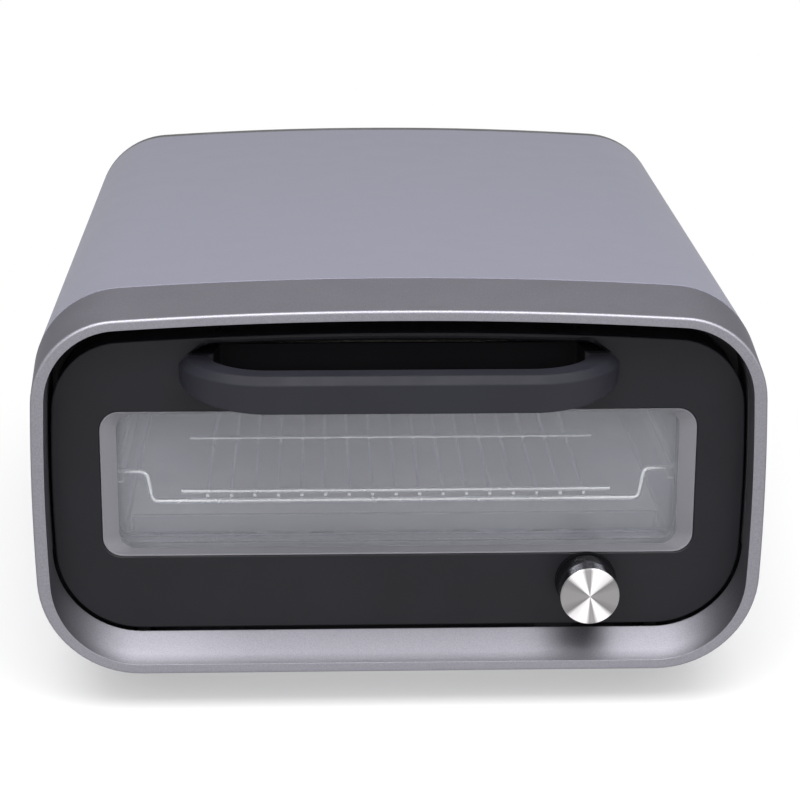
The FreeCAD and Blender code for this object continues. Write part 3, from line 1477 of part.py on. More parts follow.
def build():
    save("front_ring", make_front_ring())
    save("outer_shell", make_outer_shell())
    save("base_pan", make_base_pan())
    names = ("foot_front_left", "foot_rear_left", "foot_front_right", "foot_rear_right")
    for name, place in zip(names, foot_places()):
        save(name, make_foot(*place))
    save("rear_cover", make_rear_cover())
    save("mains_inlet", make_mains_inlet())
    save("face_frame", make_face_frame())
    save("body_screws", group(make_foot_screws() + make_rear_screws() + make_face_screws()))
    save("door_surround", make_door_surround())
    save("door_gasket", make_gasket())
    save("cavity_liner", make_cavity_liner())
    save("side_rail_left", make_side_rail(-1))
    save("side_rail_right", make_side_rail(1))
    save("stone_support", make_stone_support())
    save("baking_stone", make_stone())
    save("lower_element", make_element(lower_element_z))
    save("upper_element", make_element(upper_element_z))
    save("element_brackets", make_element_brackets())
    save("insulation_blanket", make_insulation())
    save("heat_shield", make_heat_shield())
    save("thermocouple", make_thermocouple())
    save("safety_thermostat", make_safety_thermostat())
    save("bay_bracket", make_fan_bracket())
    save("fan_housing", make_fan_housing())
    save("fan_motor", make_fan_motor())
    save("fan_impeller", make_fan_impeller())
    save("power_board", make_power_board())
    save("power_components", make_power_components())
    save("board_standoffs", make_board_standoffs())
    for side, name in ((-1, "left"), (1, "right")):
        save("hinge_bracket_" + name, make_hinge_bracket(side))
        save("hinge_arm_" + name, make_hinge_arm(side))
    save("hinge_pins", group([make_hinge_pin(-1), make_hinge_pin(1)]))
    save("door_panel", make_door_panel())
    save("recess_cup", make_recess_cup())
    save("handle_bar", make_handle_bar())
    save("handle_screws", make_handle_screws())
    save("window_bezel", make_window_bezel())
    save("outer_glass", glass_box(outer_glass_y(), outer_glass_thickness, glass_margin, 16.0))
    save("inner_glass", glass_box(inner_glass_y(), inner_glass_thickness, glass_margin - 1.5, 14.0))
    save("glass_spacer", make_glass_spacer())
    save("door_inner_frame", make_inner_frame())
    save("door_insulation", make_door_insulation())
    save("door_screws", make_door_screws())
    save("cable_cover", make_cable_cover())
    save("control_board", make_control_board())
    save("control_posts", make_board_posts())
    save("encoder_body", make_encoder_body())
    save("encoder_plunger", make_encoder_plunger())
    save("knob_shaft", make_knob_shaft())
    save("knob_skirt", make_knob_skirt())
    save("knob_cap", make_knob_cap())
    save("knob_collar", make_knob_collar())
    save("rack_frame", make_rack_frame())
    save("rack_wires", make_rack_wires())
    print("origin shift along Y", origin_shift)


build()
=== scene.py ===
import math

import bmesh
import bpy
from mathutils import Matrix, Vector


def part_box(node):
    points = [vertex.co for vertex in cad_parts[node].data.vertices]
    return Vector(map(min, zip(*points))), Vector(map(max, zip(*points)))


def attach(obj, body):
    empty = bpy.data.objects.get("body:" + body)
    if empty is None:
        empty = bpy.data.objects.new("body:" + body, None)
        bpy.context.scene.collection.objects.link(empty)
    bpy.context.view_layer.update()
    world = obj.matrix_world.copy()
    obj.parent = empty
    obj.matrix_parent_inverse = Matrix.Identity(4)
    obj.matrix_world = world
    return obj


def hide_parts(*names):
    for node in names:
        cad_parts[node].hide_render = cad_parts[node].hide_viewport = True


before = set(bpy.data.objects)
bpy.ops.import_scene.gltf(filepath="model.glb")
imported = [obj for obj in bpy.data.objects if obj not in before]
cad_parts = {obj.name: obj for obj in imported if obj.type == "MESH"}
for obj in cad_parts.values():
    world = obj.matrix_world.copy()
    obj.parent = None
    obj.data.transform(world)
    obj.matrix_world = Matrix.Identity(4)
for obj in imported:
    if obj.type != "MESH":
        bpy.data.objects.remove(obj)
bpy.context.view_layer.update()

mm = 0.001

# Mesh work: points that count as one, and the angles between faces where an edge is creased, or sharp
same_point = 0.01 * mm
crease_angle = math.radians(32.0)
sharp_angle = math.radians(40.0)
stone_edge_angle = math.radians(60.0)

# Oven body. Depths are measured back from the front plane of the ring.
shell_width = 450 * mm
shell_height = 238.6 * mm
shell_crown = 9 * mm
shell_bulge = 4.2 * mm
shell_top_radius = 57.5 * mm
shell_bottom_radius = 66 * mm
foot_height = 22 * mm
sheet = 1 * mm
base_half_width = 143 * mm
ring_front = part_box("front_ring")[0].y
ring_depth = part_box("front_ring")[1].y - ring_front
ring_taper = 4.2 * mm
ring_edge = 1.8 * mm
ring_wall = 2.5 * mm
ring_return = 2.2 * mm
rim_side = 7.8 * mm
rim_top = 6.2 * mm
rim_bottom = 6.4 * mm
rim_lean = 3.0
rim_inner_edge = 0.25 * mm
ledge_depth = 21 * mm
ledge_rise = 13.6 * mm
ledge_steps = 6

# Door
door_front = 20 * mm
door_wall = 2.5 * mm
door_edge = 1 * mm
door_inset_side = 14.2 * mm
door_inset_top = 23 * mm
door_inset_bottom = 26.9 * mm
panel_rear = 54.2 * mm
door_rear = 56 * mm
door_screw_places = [(side * 202.3 * mm, z * mm) for side in (-1, 1) for z in (118.9, 173.9)]
window_half = 181.3 * mm
window_low = 95.7 * mm
window_high = 189 * mm
window_radius = 12 * mm
bezel_side = 9.6 * mm
bezel_bottom = 2.6 * mm
bezel_top = 4 * mm
bezel_depth = 8 * mm
bezel_rim = 1.4 * mm
bezel_side_rim = 0.65 * mm
back_sheet = 1.5 * mm
glass_half = window_half - bezel_side
glass_low = window_low + bezel_bottom
glass_high = window_high - bezel_top
bezel_set = 0.4 * mm
glass_stack = 17 * mm
glass_rear = door_front + bezel_set + bezel_depth + glass_stack
recess_half = 115.8 * mm
recess_end_half = 128.2 * mm
recess_top = 235.9 * mm
recess_low = 200.9 * mm
recess_step = 224 * mm
recess_narrow = 114 * mm
recess_lip = 2.4 * mm
recess_depth = 15 * mm
recess_draft = 3 * mm

# Handle
handle_half = 133 * mm
handle_front = -27 * mm
handle_section_depth = 17.5 * mm
handle_low = 200.8 * mm
handle_top = 223.4 * mm
handle_chamfer = 4.5 * mm
handle_corner = 56 * mm
handle_rise = 7 * mm

# Rear cover and inlet
cover_front = 533 * mm
cover_rear = 547 * mm
cover_round = 6 * mm
cover_wall = 2 * mm
fan_x = -96 * mm
fan_z = 134.2 * mm
board_x = 70 * mm
board_vents_z = 176.2 * mm
inlet_x = 150 * mm
inlet_z = 68.2 * mm
inlet_half = 13.5 * mm
inlet_rise = 13.5 * mm
fan_vent_rows = 9
fan_vent_length = 96 * mm
board_vent_rows = 5
board_vent_length = 120 * mm
vent_pitch = 9 * mm
vent_width = 4.2 * mm
screw_sink = 1.7 * mm
screw_bore = 1.7 * mm
boss_radius = 4 * mm
frame_screw_inset = 5.9 * mm

# Feet
foot_places = [(x * mm, y * mm) for x in (-131.0, 131.0) for y in (88.0, 485.0)]

# Cavity
frame_front = 58 * mm
stone_half = 170 * mm
stone_front = 91.5 * mm
stone_depth = 330 * mm
stone_top = 96.2 * mm
stone_thickness = 12 * mm
element_radius = 3.25 * mm
element_bend = 36 * mm
element_runs = 4
element_front = 99.5 * mm
element_rear = 389.5 * mm
element_end = 446.5 * mm
lower_element_z = stone_top - stone_thickness - 8.25 * mm
upper_element_z = 188.2 * mm

# Rack
rack_front = 74.5 * mm
rack_rear = 392.5 * mm
rack_low = 112.2 * mm
rack_high = 132.2 * mm
rack_rod = 2 * mm
rack_wire = 1.4 * mm
rack_top_rod = 1.6 * mm
rack_bend = 4.6 * mm
rack_bend_x = 154.2 * mm
rack_step_x = 157.6 * mm
rack_half = 176 * mm
rack_wire_count = 17
rack_wire_pitch = 14.9 * mm
rack_wire_overhang = 1 * mm
rack_cross_rods = 4
rack_reach = 136 * mm
weld_gap = 0.05 * mm

# Knob
knob_place = Vector((115.5 * mm, 0.0, 77.7 * mm))
knob_radius = 18 * mm
knob_front = -7.5 * mm
knob_rear = 16.5 * mm
knob_band = 4.5 * mm
collar_front = 18 * mm
knob_cap_side = 1.4 * mm
knob_collar_radius = 18.9 * mm
shaft_hole = 5.5 * mm
collar_bore = 5.6 * mm

# Painted highlights of the turned metal: bright sectors put into its colour, the middle and half the width of each, in
# degrees
knob_painted_highlights = ((63.0, 22.0), (121.5, 15.5))
sleeve_painted_highlights = ((69.0, 8.0), (120.0, 13.0))

# Camera worked out from the photograph, which is 800 by 800 pixels
photo_size = 800.0
camera_place = Vector((-48.5 * mm, ring_front - 1356.3 * mm, 627.7 * mm))
camera_pitch = math.radians(17.43)
camera_yaw = math.radians(2.03)
camera_roll = math.radians(0.233)
focal_pixels = 2395.1
film_width = 36.0

# Light, and the floor's distances in metres where its shadow starts to fade and where all is white
sky_light = 0.35
shadow_reach = 0.26
white_reach = 0.52
near_white = 0.4
floor_half = 6.0


# Outlines

def at_depth(points, depth):
    """Stand points of the front plane at a depth."""
    return [Vector((x, ring_front + depth, z)) for x, z in points]


def arc_points(centre, radius, start, end, steps, whole=False):
    """Points on an arc in the front plane, with the last one only where the arc is whole."""
    angles = [start + (end - start) * step / steps for step in range(steps + whole)]
    return [(centre[0] + radius * math.cos(angle), centre[1] + radius * math.sin(angle)) for angle in angles]


def arch_drop(x):
    """How far the shell's arched top has come down at a distance from its middle."""
    return shell_crown * (2 * x / shell_width) ** 2


def body_outline(depth, side, top=None, bottom=None):
    """The oven's front outline at one depth, pulled in from the shell: a closed loop of points."""
    top = side if top is None else top
    bottom = side if bottom is None else bottom
    half = shell_width / 2 - side
    low = foot_height + bottom
    high = foot_height + shell_height - top
    crown = arch_drop(half)
    corner_x = half - shell_bulge
    shoulder = high - crown
    middle = (low + shoulder) / 2
    rise = (shoulder - low) / 2
    side_radius = (rise ** 2 + shell_bulge ** 2) / (2 * shell_bulge)
    side_centre = Vector((half - side_radius, middle))
    top_radius = (corner_x ** 2 + crown ** 2) / (2 * crown)
    top_centre = Vector((0.0, high - top_radius))
    low_fillet = shell_bottom_radius - side
    high_fillet = shell_top_radius - side

    low_z = low + low_fillet
    reach = side_radius - low_fillet
    low_centre = Vector((side_centre.x + math.sqrt(reach ** 2 - (low_z - middle) ** 2), low_z))
    high_centre = circles_meet(side_centre, side_radius - high_fillet, top_centre, top_radius - high_fillet)
    low_turn = (low_centre - side_centre).normalized()
    side_turn = (high_centre - side_centre).normalized()
    top_turn = (high_centre - top_centre).normalized()

    def angle(way):
        return math.atan2(way.y, way.x)

    right = [(x * base_half_width / 4, low) for x in range(5)]
    right += arc_points(low_centre, low_fillet, -math.pi / 2, angle(low_turn), 18)
    right += arc_points(side_centre, side_radius, angle(low_turn), angle(side_turn), 8)
    right += arc_points(high_centre, high_fillet, angle(side_turn), angle(top_turn), 18)
    right += arc_points(top_centre, top_radius, angle(top_turn), math.pi / 2, 16)
    left = [(-x, z) for x, z in reversed(right[1:])]
    return at_depth(right + [(0.0, high)] + left, depth)


def body_loops(sections):
    return [body_outline(depth, inset) for depth, inset in sections]


def circles_meet(first, first_radius, second, second_radius):
    """The meeting point of two circles on the right-hand side."""
    between = second - first
    distance = between.length
    along = (first_radius ** 2 - second_radius ** 2 + distance ** 2) / (2 * distance)
    across = math.sqrt(first_radius ** 2 - along ** 2)
    way = between / distance
    base = first + way * along
    side = Vector((way.y, -way.x)) * across
    return max(base + side, base - side, key=sum)


def rounded_outline(depth, x0, x1, z0, z1, radius, steps=8):
    """Rounded rectangle at one depth."""
    x0, x1, z0, z1 = x0 + radius, x1 - radius, z0 + radius, z1 - radius
    points = []
    for centre, quarter in (((x1, z0), -1), ((x1, z1), 0), ((x0, z1), 1), ((x0, z0), 2)):
        points += arc_points(centre, radius, quarter * math.pi / 2, (quarter + 1) * math.pi / 2, steps, whole=True)
    return at_depth(points, depth)


def window_outline(depth, side=0.0, low=None, high=None, radius=window_radius):
    """The door's window, pulled in evenly or by an inset for the sides, the bottom and the top."""
    low = side if low is None else low
    high = side if high is None else high
    return rounded_outline(depth, side - window_half, window_half - side, window_low + low, window_high - high, radius)


def recess_outline(depth, inset, corner=2.5 * mm):
    """Finger recess: arched top, slanted upper corners down to the handle's roots, narrower below them."""
    shoulder = recess_top - inset - arch_drop(recess_half)
    corner_x = recess_half - inset * 0.9
    rise = recess_top - inset - shoulder
    top_radius = (corner_x ** 2 + rise ** 2) / (2 * rise)
    spread = math.asin(corner_x / top_radius)
    centre = (0.0, recess_top - inset - top_radius)
    step = recess_step + inset * 0.3
    narrow = recess_narrow - inset
    right = [(narrow, recess_low + inset), (narrow, step), (recess_end_half - inset, step), (corner_x, shoulder)]
    arch = arc_points(centre, top_radius, math.pi / 2 - spread, math.pi / 2 + spread, 24)[1:]
    left = [(-x, z) for x, z in reversed(right)]
    sharp = set(right[:1] + right[2:] + left[:2] + left[3:])
    points = []
    loop = right + arch + left
    for before, here, after in zip(loop[-1:] + loop, loop, loop[1:] + loop[:1]):
        points += rounded_corner(before, here, after, corner) if here in sharp else [here]
    return at_depth(points, depth)


def rounded_corner(before, here, after, reach, steps=6):
    """Points of a smooth turn in place of a sharp corner."""
    here = Vector(here)
    way_in = Vector(before) - here
    way_out = Vector(after) - here
    start = here + way_in.normalized() * min(reach, way_in.length * 0.45)
    end = here + way_out.normalized() * min(reach, way_out.length * 0.45)
    shares = [step / steps for step in range(steps + 1)]
    return [tuple(start * (1 - t) ** 2 + here * 2 * t * (1 - t) + end * t ** 2) for t in shares]


def door_outline(depth, grow=0.0):
    return body_outline(depth, door_inset_side - grow, door_inset_top - grow, door_inset_bottom - grow)


def round_over(depth, radius, steps, outward):
    """Depths and insets of a rounded edge between a side wall and a face. A negative radius turns it to the back."""
    angles = [math.pi / 2 * step / steps for step in range(steps + 1)]
    return [(depth + radius * (1 - math.sin(angle)), outward * radius * (1 - math.cos(angle))) for angle in angles]


# Mesh work

def draw_loop(shape, points, closed=True):
    """Add points joined by edges, and give back the edges."""
    verts = [shape.verts.new(point) for point in points]
    ends = verts[1:] + verts[:1] if closed else verts[1:]
    return [shape.edges.new((a, b)) for a, b in zip(verts, ends)]


def edges_in(items):
    return [item for item in items if isinstance(item, bmesh.types.BMEdge)]


def verts_of(edges):
    return list({vert for edge in edges for vert in edge.verts})


def extrude(shape, edges):
    """Double a loop of edges, and give back the new points and the new loop."""
    made = bmesh.ops.extrude_edge_only(shape, edges=edges)["geom"]
    fresh = {item for item in made if isinstance(item, bmesh.types.BMVert)}
    return fresh, [edge for edge in edges_in(made) if all(vert in fresh for vert in edge.verts)]


def push(shape, edges, way):
    """Draw a loop of edges out along a straight way, and give back its far end."""
    moved, far_end = extrude(shape, edges)
    bmesh.ops.translate(shape, verts=list(moved), vec=way)
    return far_end


def skin(shape, loops, around=False):
    """Draw an outline and extrude it from one to the next, and back to the first where it goes around."""
    rims = [draw_loop(shape, loops[0])]
    here = [edge.verts[0] for edge in rims[0]]
    for loop in loops[1:] + (loops[:1] if around else []):
        fresh, rim = extrude(shape, rims[-1])
        here = [
            next(edge.other_vert(vert) for edge in vert.link_edges if edge.other_vert(vert) in fresh) for vert in here
        ]
        for vert, point in zip(here, loop):
            vert.co = point
        rims.append(rim)
    return rims


def skinned(loops):
    """A new shape, skinned from loop to loop and back to the first."""
    shape = bmesh.new()
    skin(shape, loops, around=True)
    return shape


def fill(shape, edges, facing):
    """Fill the flat area between loops of edges, turned one way."""
    bmesh.ops.triangle_fill(shape, use_beauty=True, use_dissolve=False, edges=edges, normal=facing)


def plate(shape, openings, facing):
    """Skin a plate's outer wall and its holes, and fill the flats between them. The last loops face one way in Y."""
    skins = [skin(shape, loops) for loops in openings]
    for end, way in ((-1, facing), (0, -facing)):
        fill(shape, [edge for loops in skins for edge in loops[end]], (0, way, 0))


def sweep(shape, geom, centre, axis, angle, steps, merged=False):
    """Spin points and edges round an axis, and give back the edges that they end in."""
    made = bmesh.ops.spin(
        shape, geom=geom, cent=centre, axis=axis, dvec=(0, 0, 0), angle=angle, steps=steps, use_merge=merged,
        use_duplicate=False,
    )
    return edges_in(made["geom_last"])


def bevel(shape, geom, width, steps, affect="EDGES", clamped=False):
    bmesh.ops.bevel(
        shape, geom=geom, offset=width, offset_type="OFFSET", segments=steps, profile=0.5, affect=affect,
        clamp_overlap=clamped, material=-1,
    )


def lathe(shape, profile, centre, axis, steps=48):
    """Spin a profile of (radius, place along the axis) round an axis."""
    way = Vector(axis).normalized()
    across = way.orthogonal().normalized()
    verts = [shape.verts.new(centre + across * radius + way * along) for radius, along in profile]
    edges = [shape.edges.new((a, b)) for a, b in zip(verts, verts[1:])]
    sweep(shape, verts + edges, centre, way, 2 * math.pi, steps, merged=True)


def tube(shape, points, radius, bend=0.0, sides=14, turn_steps=8, capped=True):
    """Round bar through the points: straight runs joined by elbows of one bend radius."""
    points = [Vector(point) for point in points]
    way = (points[1] - points[0]).normalized()
    place = Matrix.Translation(points[0]) @ way.to_track_quat("Z", "Y").to_matrix().to_4x4()
    made = bmesh.ops.create_circle(shape, cap_ends=False, radius=radius, segments=sides, matrix=place)
    ring = sorted({edge for vert in made["verts"] for edge in vert.link_edges}, key=lambda edge: edge.index)
    first = list(ring)
    here = points[0]
    for before, corner, after in zip(points, points[1:], points[2:]):
        way_in = (corner - before).normalized()
        way_out = (after - corner).normalized()
        turn = way_in.angle(way_out)
        reach = bend * math.tan(turn / 2)
        ring = push(shape, ring, corner - way_in * reach - here)
        axis = way_in.cross(way_out).normalized()
        centre = corner - way_in * reach + axis.cross(way_in) * bend
        steps = max(2, round(turn_steps * turn / (math.pi / 2)))
        ring = sweep(shape, verts_of(ring) + ring, centre, axis, turn, steps)
        here = corner + way_out * reach
    last = push(shape, ring, points[-1] - here)
    if capped:
        caps = [bmesh.ops.contextual_create(shape, geom=rim)["faces"][0] for rim in (first, last)]
        bevel(shape, [edge for cap in caps for edge in cap.edges], radius * 0.45, 2)


def ring_points(centre, way, radius, steps=32):
    """Points of a circle round a way."""
    across = way.orthogonal().normalized()
    along = way.cross(across)
    turns = [math.tau * step / steps for step in range(steps)]
    return [centre + (across * math.cos(turn) + along * math.sin(turn)) * radius for turn in turns]


def bore(x, z, sections, steps=32):
    """Loops of a round hole through a plate, from pairs of a radius and a depth."""
    return [ring_points(Vector((x, ring_front + depth, z)), Vector((0, 1, 0)), r, steps) for r, depth in sections]


def pan_screw(shape, place, way, radius=3 * mm, height=1.4 * mm, shank=1.45 * mm, length=10 * mm):
    """Pan-head screw: a rounded head with a cross recess, and a ridged shank into the material along the way."""
    way = way.normalized()
    rims = [(1.0, 0.0), (1.0, 0.45), (0.94, 0.78), (0.8, 0.95), (0.66, 1.0)]
    head = skin(shape, [ring_points(place - way * height * up, way, radius * wide) for wide, up in rims])
    across = way.orthogonal().normalized()
    along = way.cross(across)
    arm, half = radius * 0.55, radius * 0.13
    tip, corners = [(arm, half), (half, half), (half, arm)], []
    for _ in range(4):
        corners += tip
        tip = [(-z, x) for x, z in tip]
    top = place - way * height
    cross = [
        [top + way * deep + (across * x + along * z) * narrow for x, z in corners]
        for deep, narrow in ((0.0, 1.0), (height * 0.55, 0.75))
    ]
    recess = skin(shape, cross)
    fill(shape, head[-1] + recess[0], -way)
    fill(shape, recess[-1], -way)
    profile = [(radius, 0.0), (shank, 0.0)]
    ridges = max(3, round(length / (1.2 * mm)))
    for ridge in range(ridges):
        start, pitch = length * (ridge + 0.2) / ridges, length / ridges
        profile += [(shank, start), (shank * 0.86, start + 0.3 * pitch), (shank, start + 0.6 * pitch)]
    profile += [(shank * 0.6, length), (0.0, length)]
    lathe(shape, profile, place, way, 20)


def soften(name, node, finish, body, width):
    """Stand a copy of a CAD node in its place, its sharp edges rounded as a press or a mould leaves them."""
    shape = bmesh.new()
    shape.from_mesh(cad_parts[node].data)
    bmesh.ops.remove_doubles(shape, verts=shape.verts, dist=2 * same_point)
    bmesh.ops.dissolve_limit(
        shape, angle_limit=math.radians(0.6), verts=shape.verts, edges=shape.edges, use_dissolve_boundaries=False
    )
    edges = [edge for edge in shape.edges if edge.calc_face_angle(0.0) > sharp_angle]
    bevel(shape, edges, width, 2, clamped=True)
    finish_piece(name, shape, finish, body, [node])


def stand(name, data):
    """Add an object with its data to the scene."""
    thing = bpy.data.objects.new(name, data)
    bpy.context.scene.collection.objects.link(thing)
    return thing


def stand_mesh(name, shape, finish):
    mesh = bpy.data.meshes.new(name)
    shape.to_mesh(mesh)
    shape.free()
    mesh.materials.append(finishes[finish].material)
    return stand(name, mesh)


def finish_piece(name, shape, finish, body, nodes):
    """Turn a shape into a smooth-shaded piece that stands for its CAD nodes and rides on their body."""
    bmesh.ops.remove_doubles(shape, verts=shape.verts, dist=same_point)
    bmesh.ops.recalc_face_normals(shape, faces=shape.faces)
    for edge in shape.edges:
        edge.smooth = edge.calc_face_angle(math.pi) < crease_angle
    for face in shape.faces:
        face.smooth = True
    piece = stand_mesh(name, shape, finish)
    weighted = piece.modifiers.new("even_shading", "WEIGHTED_NORMAL")
    weighted.keep_sharp = True
    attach(piece, body)
    if nodes:
        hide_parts(*nodes)


# Finishes

def feed(tree, entry, value):
    """Set a socket to a value, or link another node's output to it."""
    if isinstance(value, bpy.types.NodeSocket):
        tree.links.new(value, entry)
    else:
        entry.default_value = value


def add_node(tree, kind, entries=None, **settings):
    """Add a shader node with its settings, and feed its entries by their names or numbers."""
    made = tree.nodes.new(kind)
    for key, value in settings.items():
        setattr(made, key, value)
    for key, value in (entries or {}).items():
        feed(tree, made.inputs[key], value)
    return made


finishes = {}


class Finish:
    """A material under its name: its shader, and the object coordinates that its patterns follow."""

    def __init__(self, name, colour, roughness, metallic=0.0, gloss=0.5):
        finishes[name] = self
        self.material = bpy.data.materials.new(name)
        self.material.use_nodes = True
        self.tree = self.material.node_tree
        self.shader = self.tree.nodes["Principled BSDF"]
        self.colour = (*colour, 1.0)
        self.put({"Base Color": self.colour, "Roughness": roughness, "Metallic": metallic, "Specular IOR Level": gloss})
        self.place = self.node("ShaderNodeTexCoord").outputs["Object"]

    def node(self, kind, entries=None, **settings):
        return add_node(self.tree, kind, entries, **settings)

    def put(self, entries):
        """Feed entries of the shader."""
        for key, value in entries.items():
            feed(self.tree, self.shader.inputs[key], value)

    def mapped(self, **how):
        """The object coordinates, stretched by a Scale or moved by a Location."""
        return self.node("ShaderNodeMapping", {"Vector": self.place, **how}).outputs["Vector"]

    def noise(self, scale, detail=3.0, stretch=None):
        place = self.mapped(Scale=stretch) if stretch else self.place
        return self.node("ShaderNodeTexNoise", {"Scale": scale, "Detail": detail, "Vector": place}).outputs["Fac"]

    def spread(self, value, low, high, start=0.35, end=0.65):
        """Map a pattern from start..end to low..high."""
        entries = {"Value": value, "From Min": start, "From Max": end, "To Min": low, "To Max": high}
        return self.node("ShaderNodeMapRange", entries).outputs["Result"]

    def shade(self, value, dark, light):
        """Vary the base colour between a darker and a lighter tone of itself."""
        ramp = self.node("ShaderNodeValToRGB", {"Fac": value})
        for element, place, tone in zip(ramp.color_ramp.elements, (0.3, 0.7), (dark, light)):
            element.position = place
            element.color = (*(min(1.0, c * tone) for c in self.colour[:3]), 1.0)
        self.put({"Base Color": ramp.outputs["Color"]})

    def maths(self, operation, *values):
        return self.node("ShaderNodeMath", dict(enumerate(values)), operation=operation).outputs["Value"]

    def axes(self, place):
        return self.node("ShaderNodeSeparateXYZ", {"Vector": place}).outputs

    def painted_rays(self, place, rings, highlight_sectors):
        """Painted highlights in bright sectors of a turned face's colour, a painted shade on a darker flank beside
        each, and its fine rings in them.
        """
        axes = self.axes(place)
        turn = self.maths("MULTIPLY", self.maths("ARCTAN2", axes["Z"], axes["X"]), 2.0)
        fade_in, fade_out, flank_width = 0.16, 0.2, 0.9
        sectors, flanks = [], []
        for middle, half in highlight_sectors:
            away = self.maths("COSINE", self.maths("SUBTRACT", turn, 2 * math.radians(middle)))
            half = 2 * math.radians(half)
            inside, rim, flank = [math.cos(half + by) for by in (-fade_in, fade_out, flank_width)]
            sectors.append(self.spread(away, 0.3, 0.68, rim, inside))
            flanks.append(self.spread(away, 0.4, 0.33, flank, rim))
        # The bright sectors are painted highlights and the darker flanks are painted shade
        painted_tone = self.maths("MAXIMUM", self.maths("MAXIMUM", *sectors), self.maths("MINIMUM", *flanks))
        return self.maths("ADD", painted_tone, self.maths("MULTIPLY", rings, 0.04))

    def rough(self, value, low, high):
        self.put({"Roughness": self.spread(value, low, high)})

    def relief(self, value, height, strength=1.0):
        """Add a fine relief of a real height, on top of any that is there."""
        entries = {"Strength": strength, "Distance": height, "Height": value}
        normal = self.shader.inputs["Normal"]
        if normal.is_linked:
            entries["Normal"] = normal.links[0].from_socket
        self.put({"Normal": self.node("ShaderNodeBump", entries).outputs["Normal"]})


def sprayed_paint(name, colour, roughness, metallic, sparkle, gloss=0.5, edge=1.0, lacquer=0.0):
    """Metallic paint over a fine orange-peel texture, with small flakes."""
    finish = Finish(name, colour, roughness, metallic, gloss)
    finish.put({"Specular Tint": (edge, edge, edge, 1.0), "Coat Weight": lacquer, "Coat Roughness": 0.3})
    flakes = finish.noise(1400.0, 1.0)
    finish.shade(flakes, 1.0 - sparkle, 1.0 + sparkle)
    finish.rough(finish.noise(35.0), roughness - 0.01, roughness + 0.01)
    finish.relief(finish.noise(900.0, 2.0), 0.00006, 0.35)


def moulded_plastic(name, colour, roughness, grain=700.0, wear=0.08, gloss=0.5):
    """Moulded plastic with a fine grain and faint handling marks."""
    finish = Finish(name, colour, roughness, 0.0, gloss)
    finish.shade(finish.noise(18.0, 6.0), 1.0 - wear, 1.0 + wear)
    finish.rough(finish.noise(60.0, 5.0), roughness - 0.05, roughness + 0.06)
    finish.relief(finish.noise(grain, 2.0), 0.00004, 0.4)


def rolled_metal(name, colour, roughness, stretch=(3.0, 160.0, 160.0), metallic=1.0, wear=0.08):
    """Sheet or drawn metal with fine lines along one direction."""
    finish = Finish(name, colour, roughness, metallic)
    lines = finish.noise(12.0, 6.0, stretch)
    finish.shade(lines, 1.0 - wear, 1.0 + wear)
    finish.rough(lines, roughness - 0.06, roughness + 0.06)
    finish.relief(lines, 0.00003, 0.4)


def baked_stone(name, colour):
    """Pale fired stone with fine grains, faint browning, and a painted shade darkening its front edge."""
    finish = Finish(name, colour, 0.85)
    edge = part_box("baking_stone")[0].y
    edge_shade_width = 4 * mm
    # Painted shade: the colour darkens towards the front edge over a few millimetres
    inside = finish.spread(finish.axes(finish.place)["Y"], 0.0, 1.0, edge, edge + edge_shade_width)
    finish.shade(finish.maths("MULTIPLY", finish.spread(finish.noise(9.0, 8.0), 0.6, 0.7), inside), 0.2, 1.08)
    finish.relief(finish.noise(1100.0, 3.0), 0.0002, 0.6)
    finish.relief(finish.noise(160.0, 4.0), 0.0002, 0.3)


def matted_fibre(name, colour, scale=420.0):
    """Felted mineral or glass fibre."""
    finish = Finish(name, colour, 0.95)
    threads = finish.noise(scale, 6.0, (1.0, 4.0, 1.0))
    finish.shade(threads, 0.75, 1.15)
    finish.relief(threads, 0.0006, 0.7)


def printed_board(name, colour):
    """Circuit board lacquer with faint tracks under it."""
    finish = Finish(name, colour, 0.35)
    entries = {"Scale": 160.0, "Mortar Size": 0.03, "Vector": finish.place}
    tracks = finish.node("ShaderNodeTexBrick", entries).outputs["Fac"]
    finish.shade(tracks, 0.8, 1.6)
    finish.relief(tracks, 0.00005, 0.4)


def window_glass(name, haze, cover, density, roughness):
    """Coated oven glass: mostly clear, with a grey haze and a mirror gloss."""
    finish = Finish(name, haze, roughness)
    finish.put({"Alpha": cover, "IOR": density})
    finish.shade(finish.noise(5.0, 6.0), 0.93, 1.07)
    finish.rough(finish.noise(7.0, 5.0), roughness, roughness + 0.04)


def spun_metal(name, colour, roughness, centre):
    """Disc turned on a lathe: fine rings round its centre, an anisotropic gloss that stretches the highlights into
    rays, and painted highlights in rays with painted shade beside them in its colour.
    """
    finish = Finish(name, colour, roughness, 1.0)
    place = finish.mapped(Location=(-centre.x, 0.0, -centre.z))
    entries = {"Scale": 900.0, "Distortion": 0.4, "Vector": place}
    rings = finish.node("ShaderNodeTexWave", entries, wave_type="RINGS", rings_direction="Y").outputs["Fac"]
    # Painted highlights: bright rays and darker flanks put into the base colour
    finish.shade(finish.painted_rays(place, rings, knob_painted_highlights), 0.6, 2.6)
    outwards = finish.node("ShaderNodeVectorMath", {0: place, 1: (1.0, 0.0, 1.0)}, operation="MULTIPLY")
    finish.put({"Anisotropic": 0.96, "Tangent": outwards.outputs["Vector"]})


def turned_sleeve(name, colour, centre):
    """Polished band round the knob, dark, with two bright stretches painted into its colour as highlights."""
    finish = Finish(name, colour, 0.18, 1.0)
    lines = finish.noise(900.0, 2.0, (0.1, 8.0, 0.1))
    # Painted highlights: two bright stretches put into the base colour
    finish.shade(finish.painted_rays(finish.mapped(Location=(-centre.x, 0.0, -centre.z)), lines, sleeve_painted_highlights), 0.5, 9.0)
    finish.relief(lines, 0.00002, 0.3)


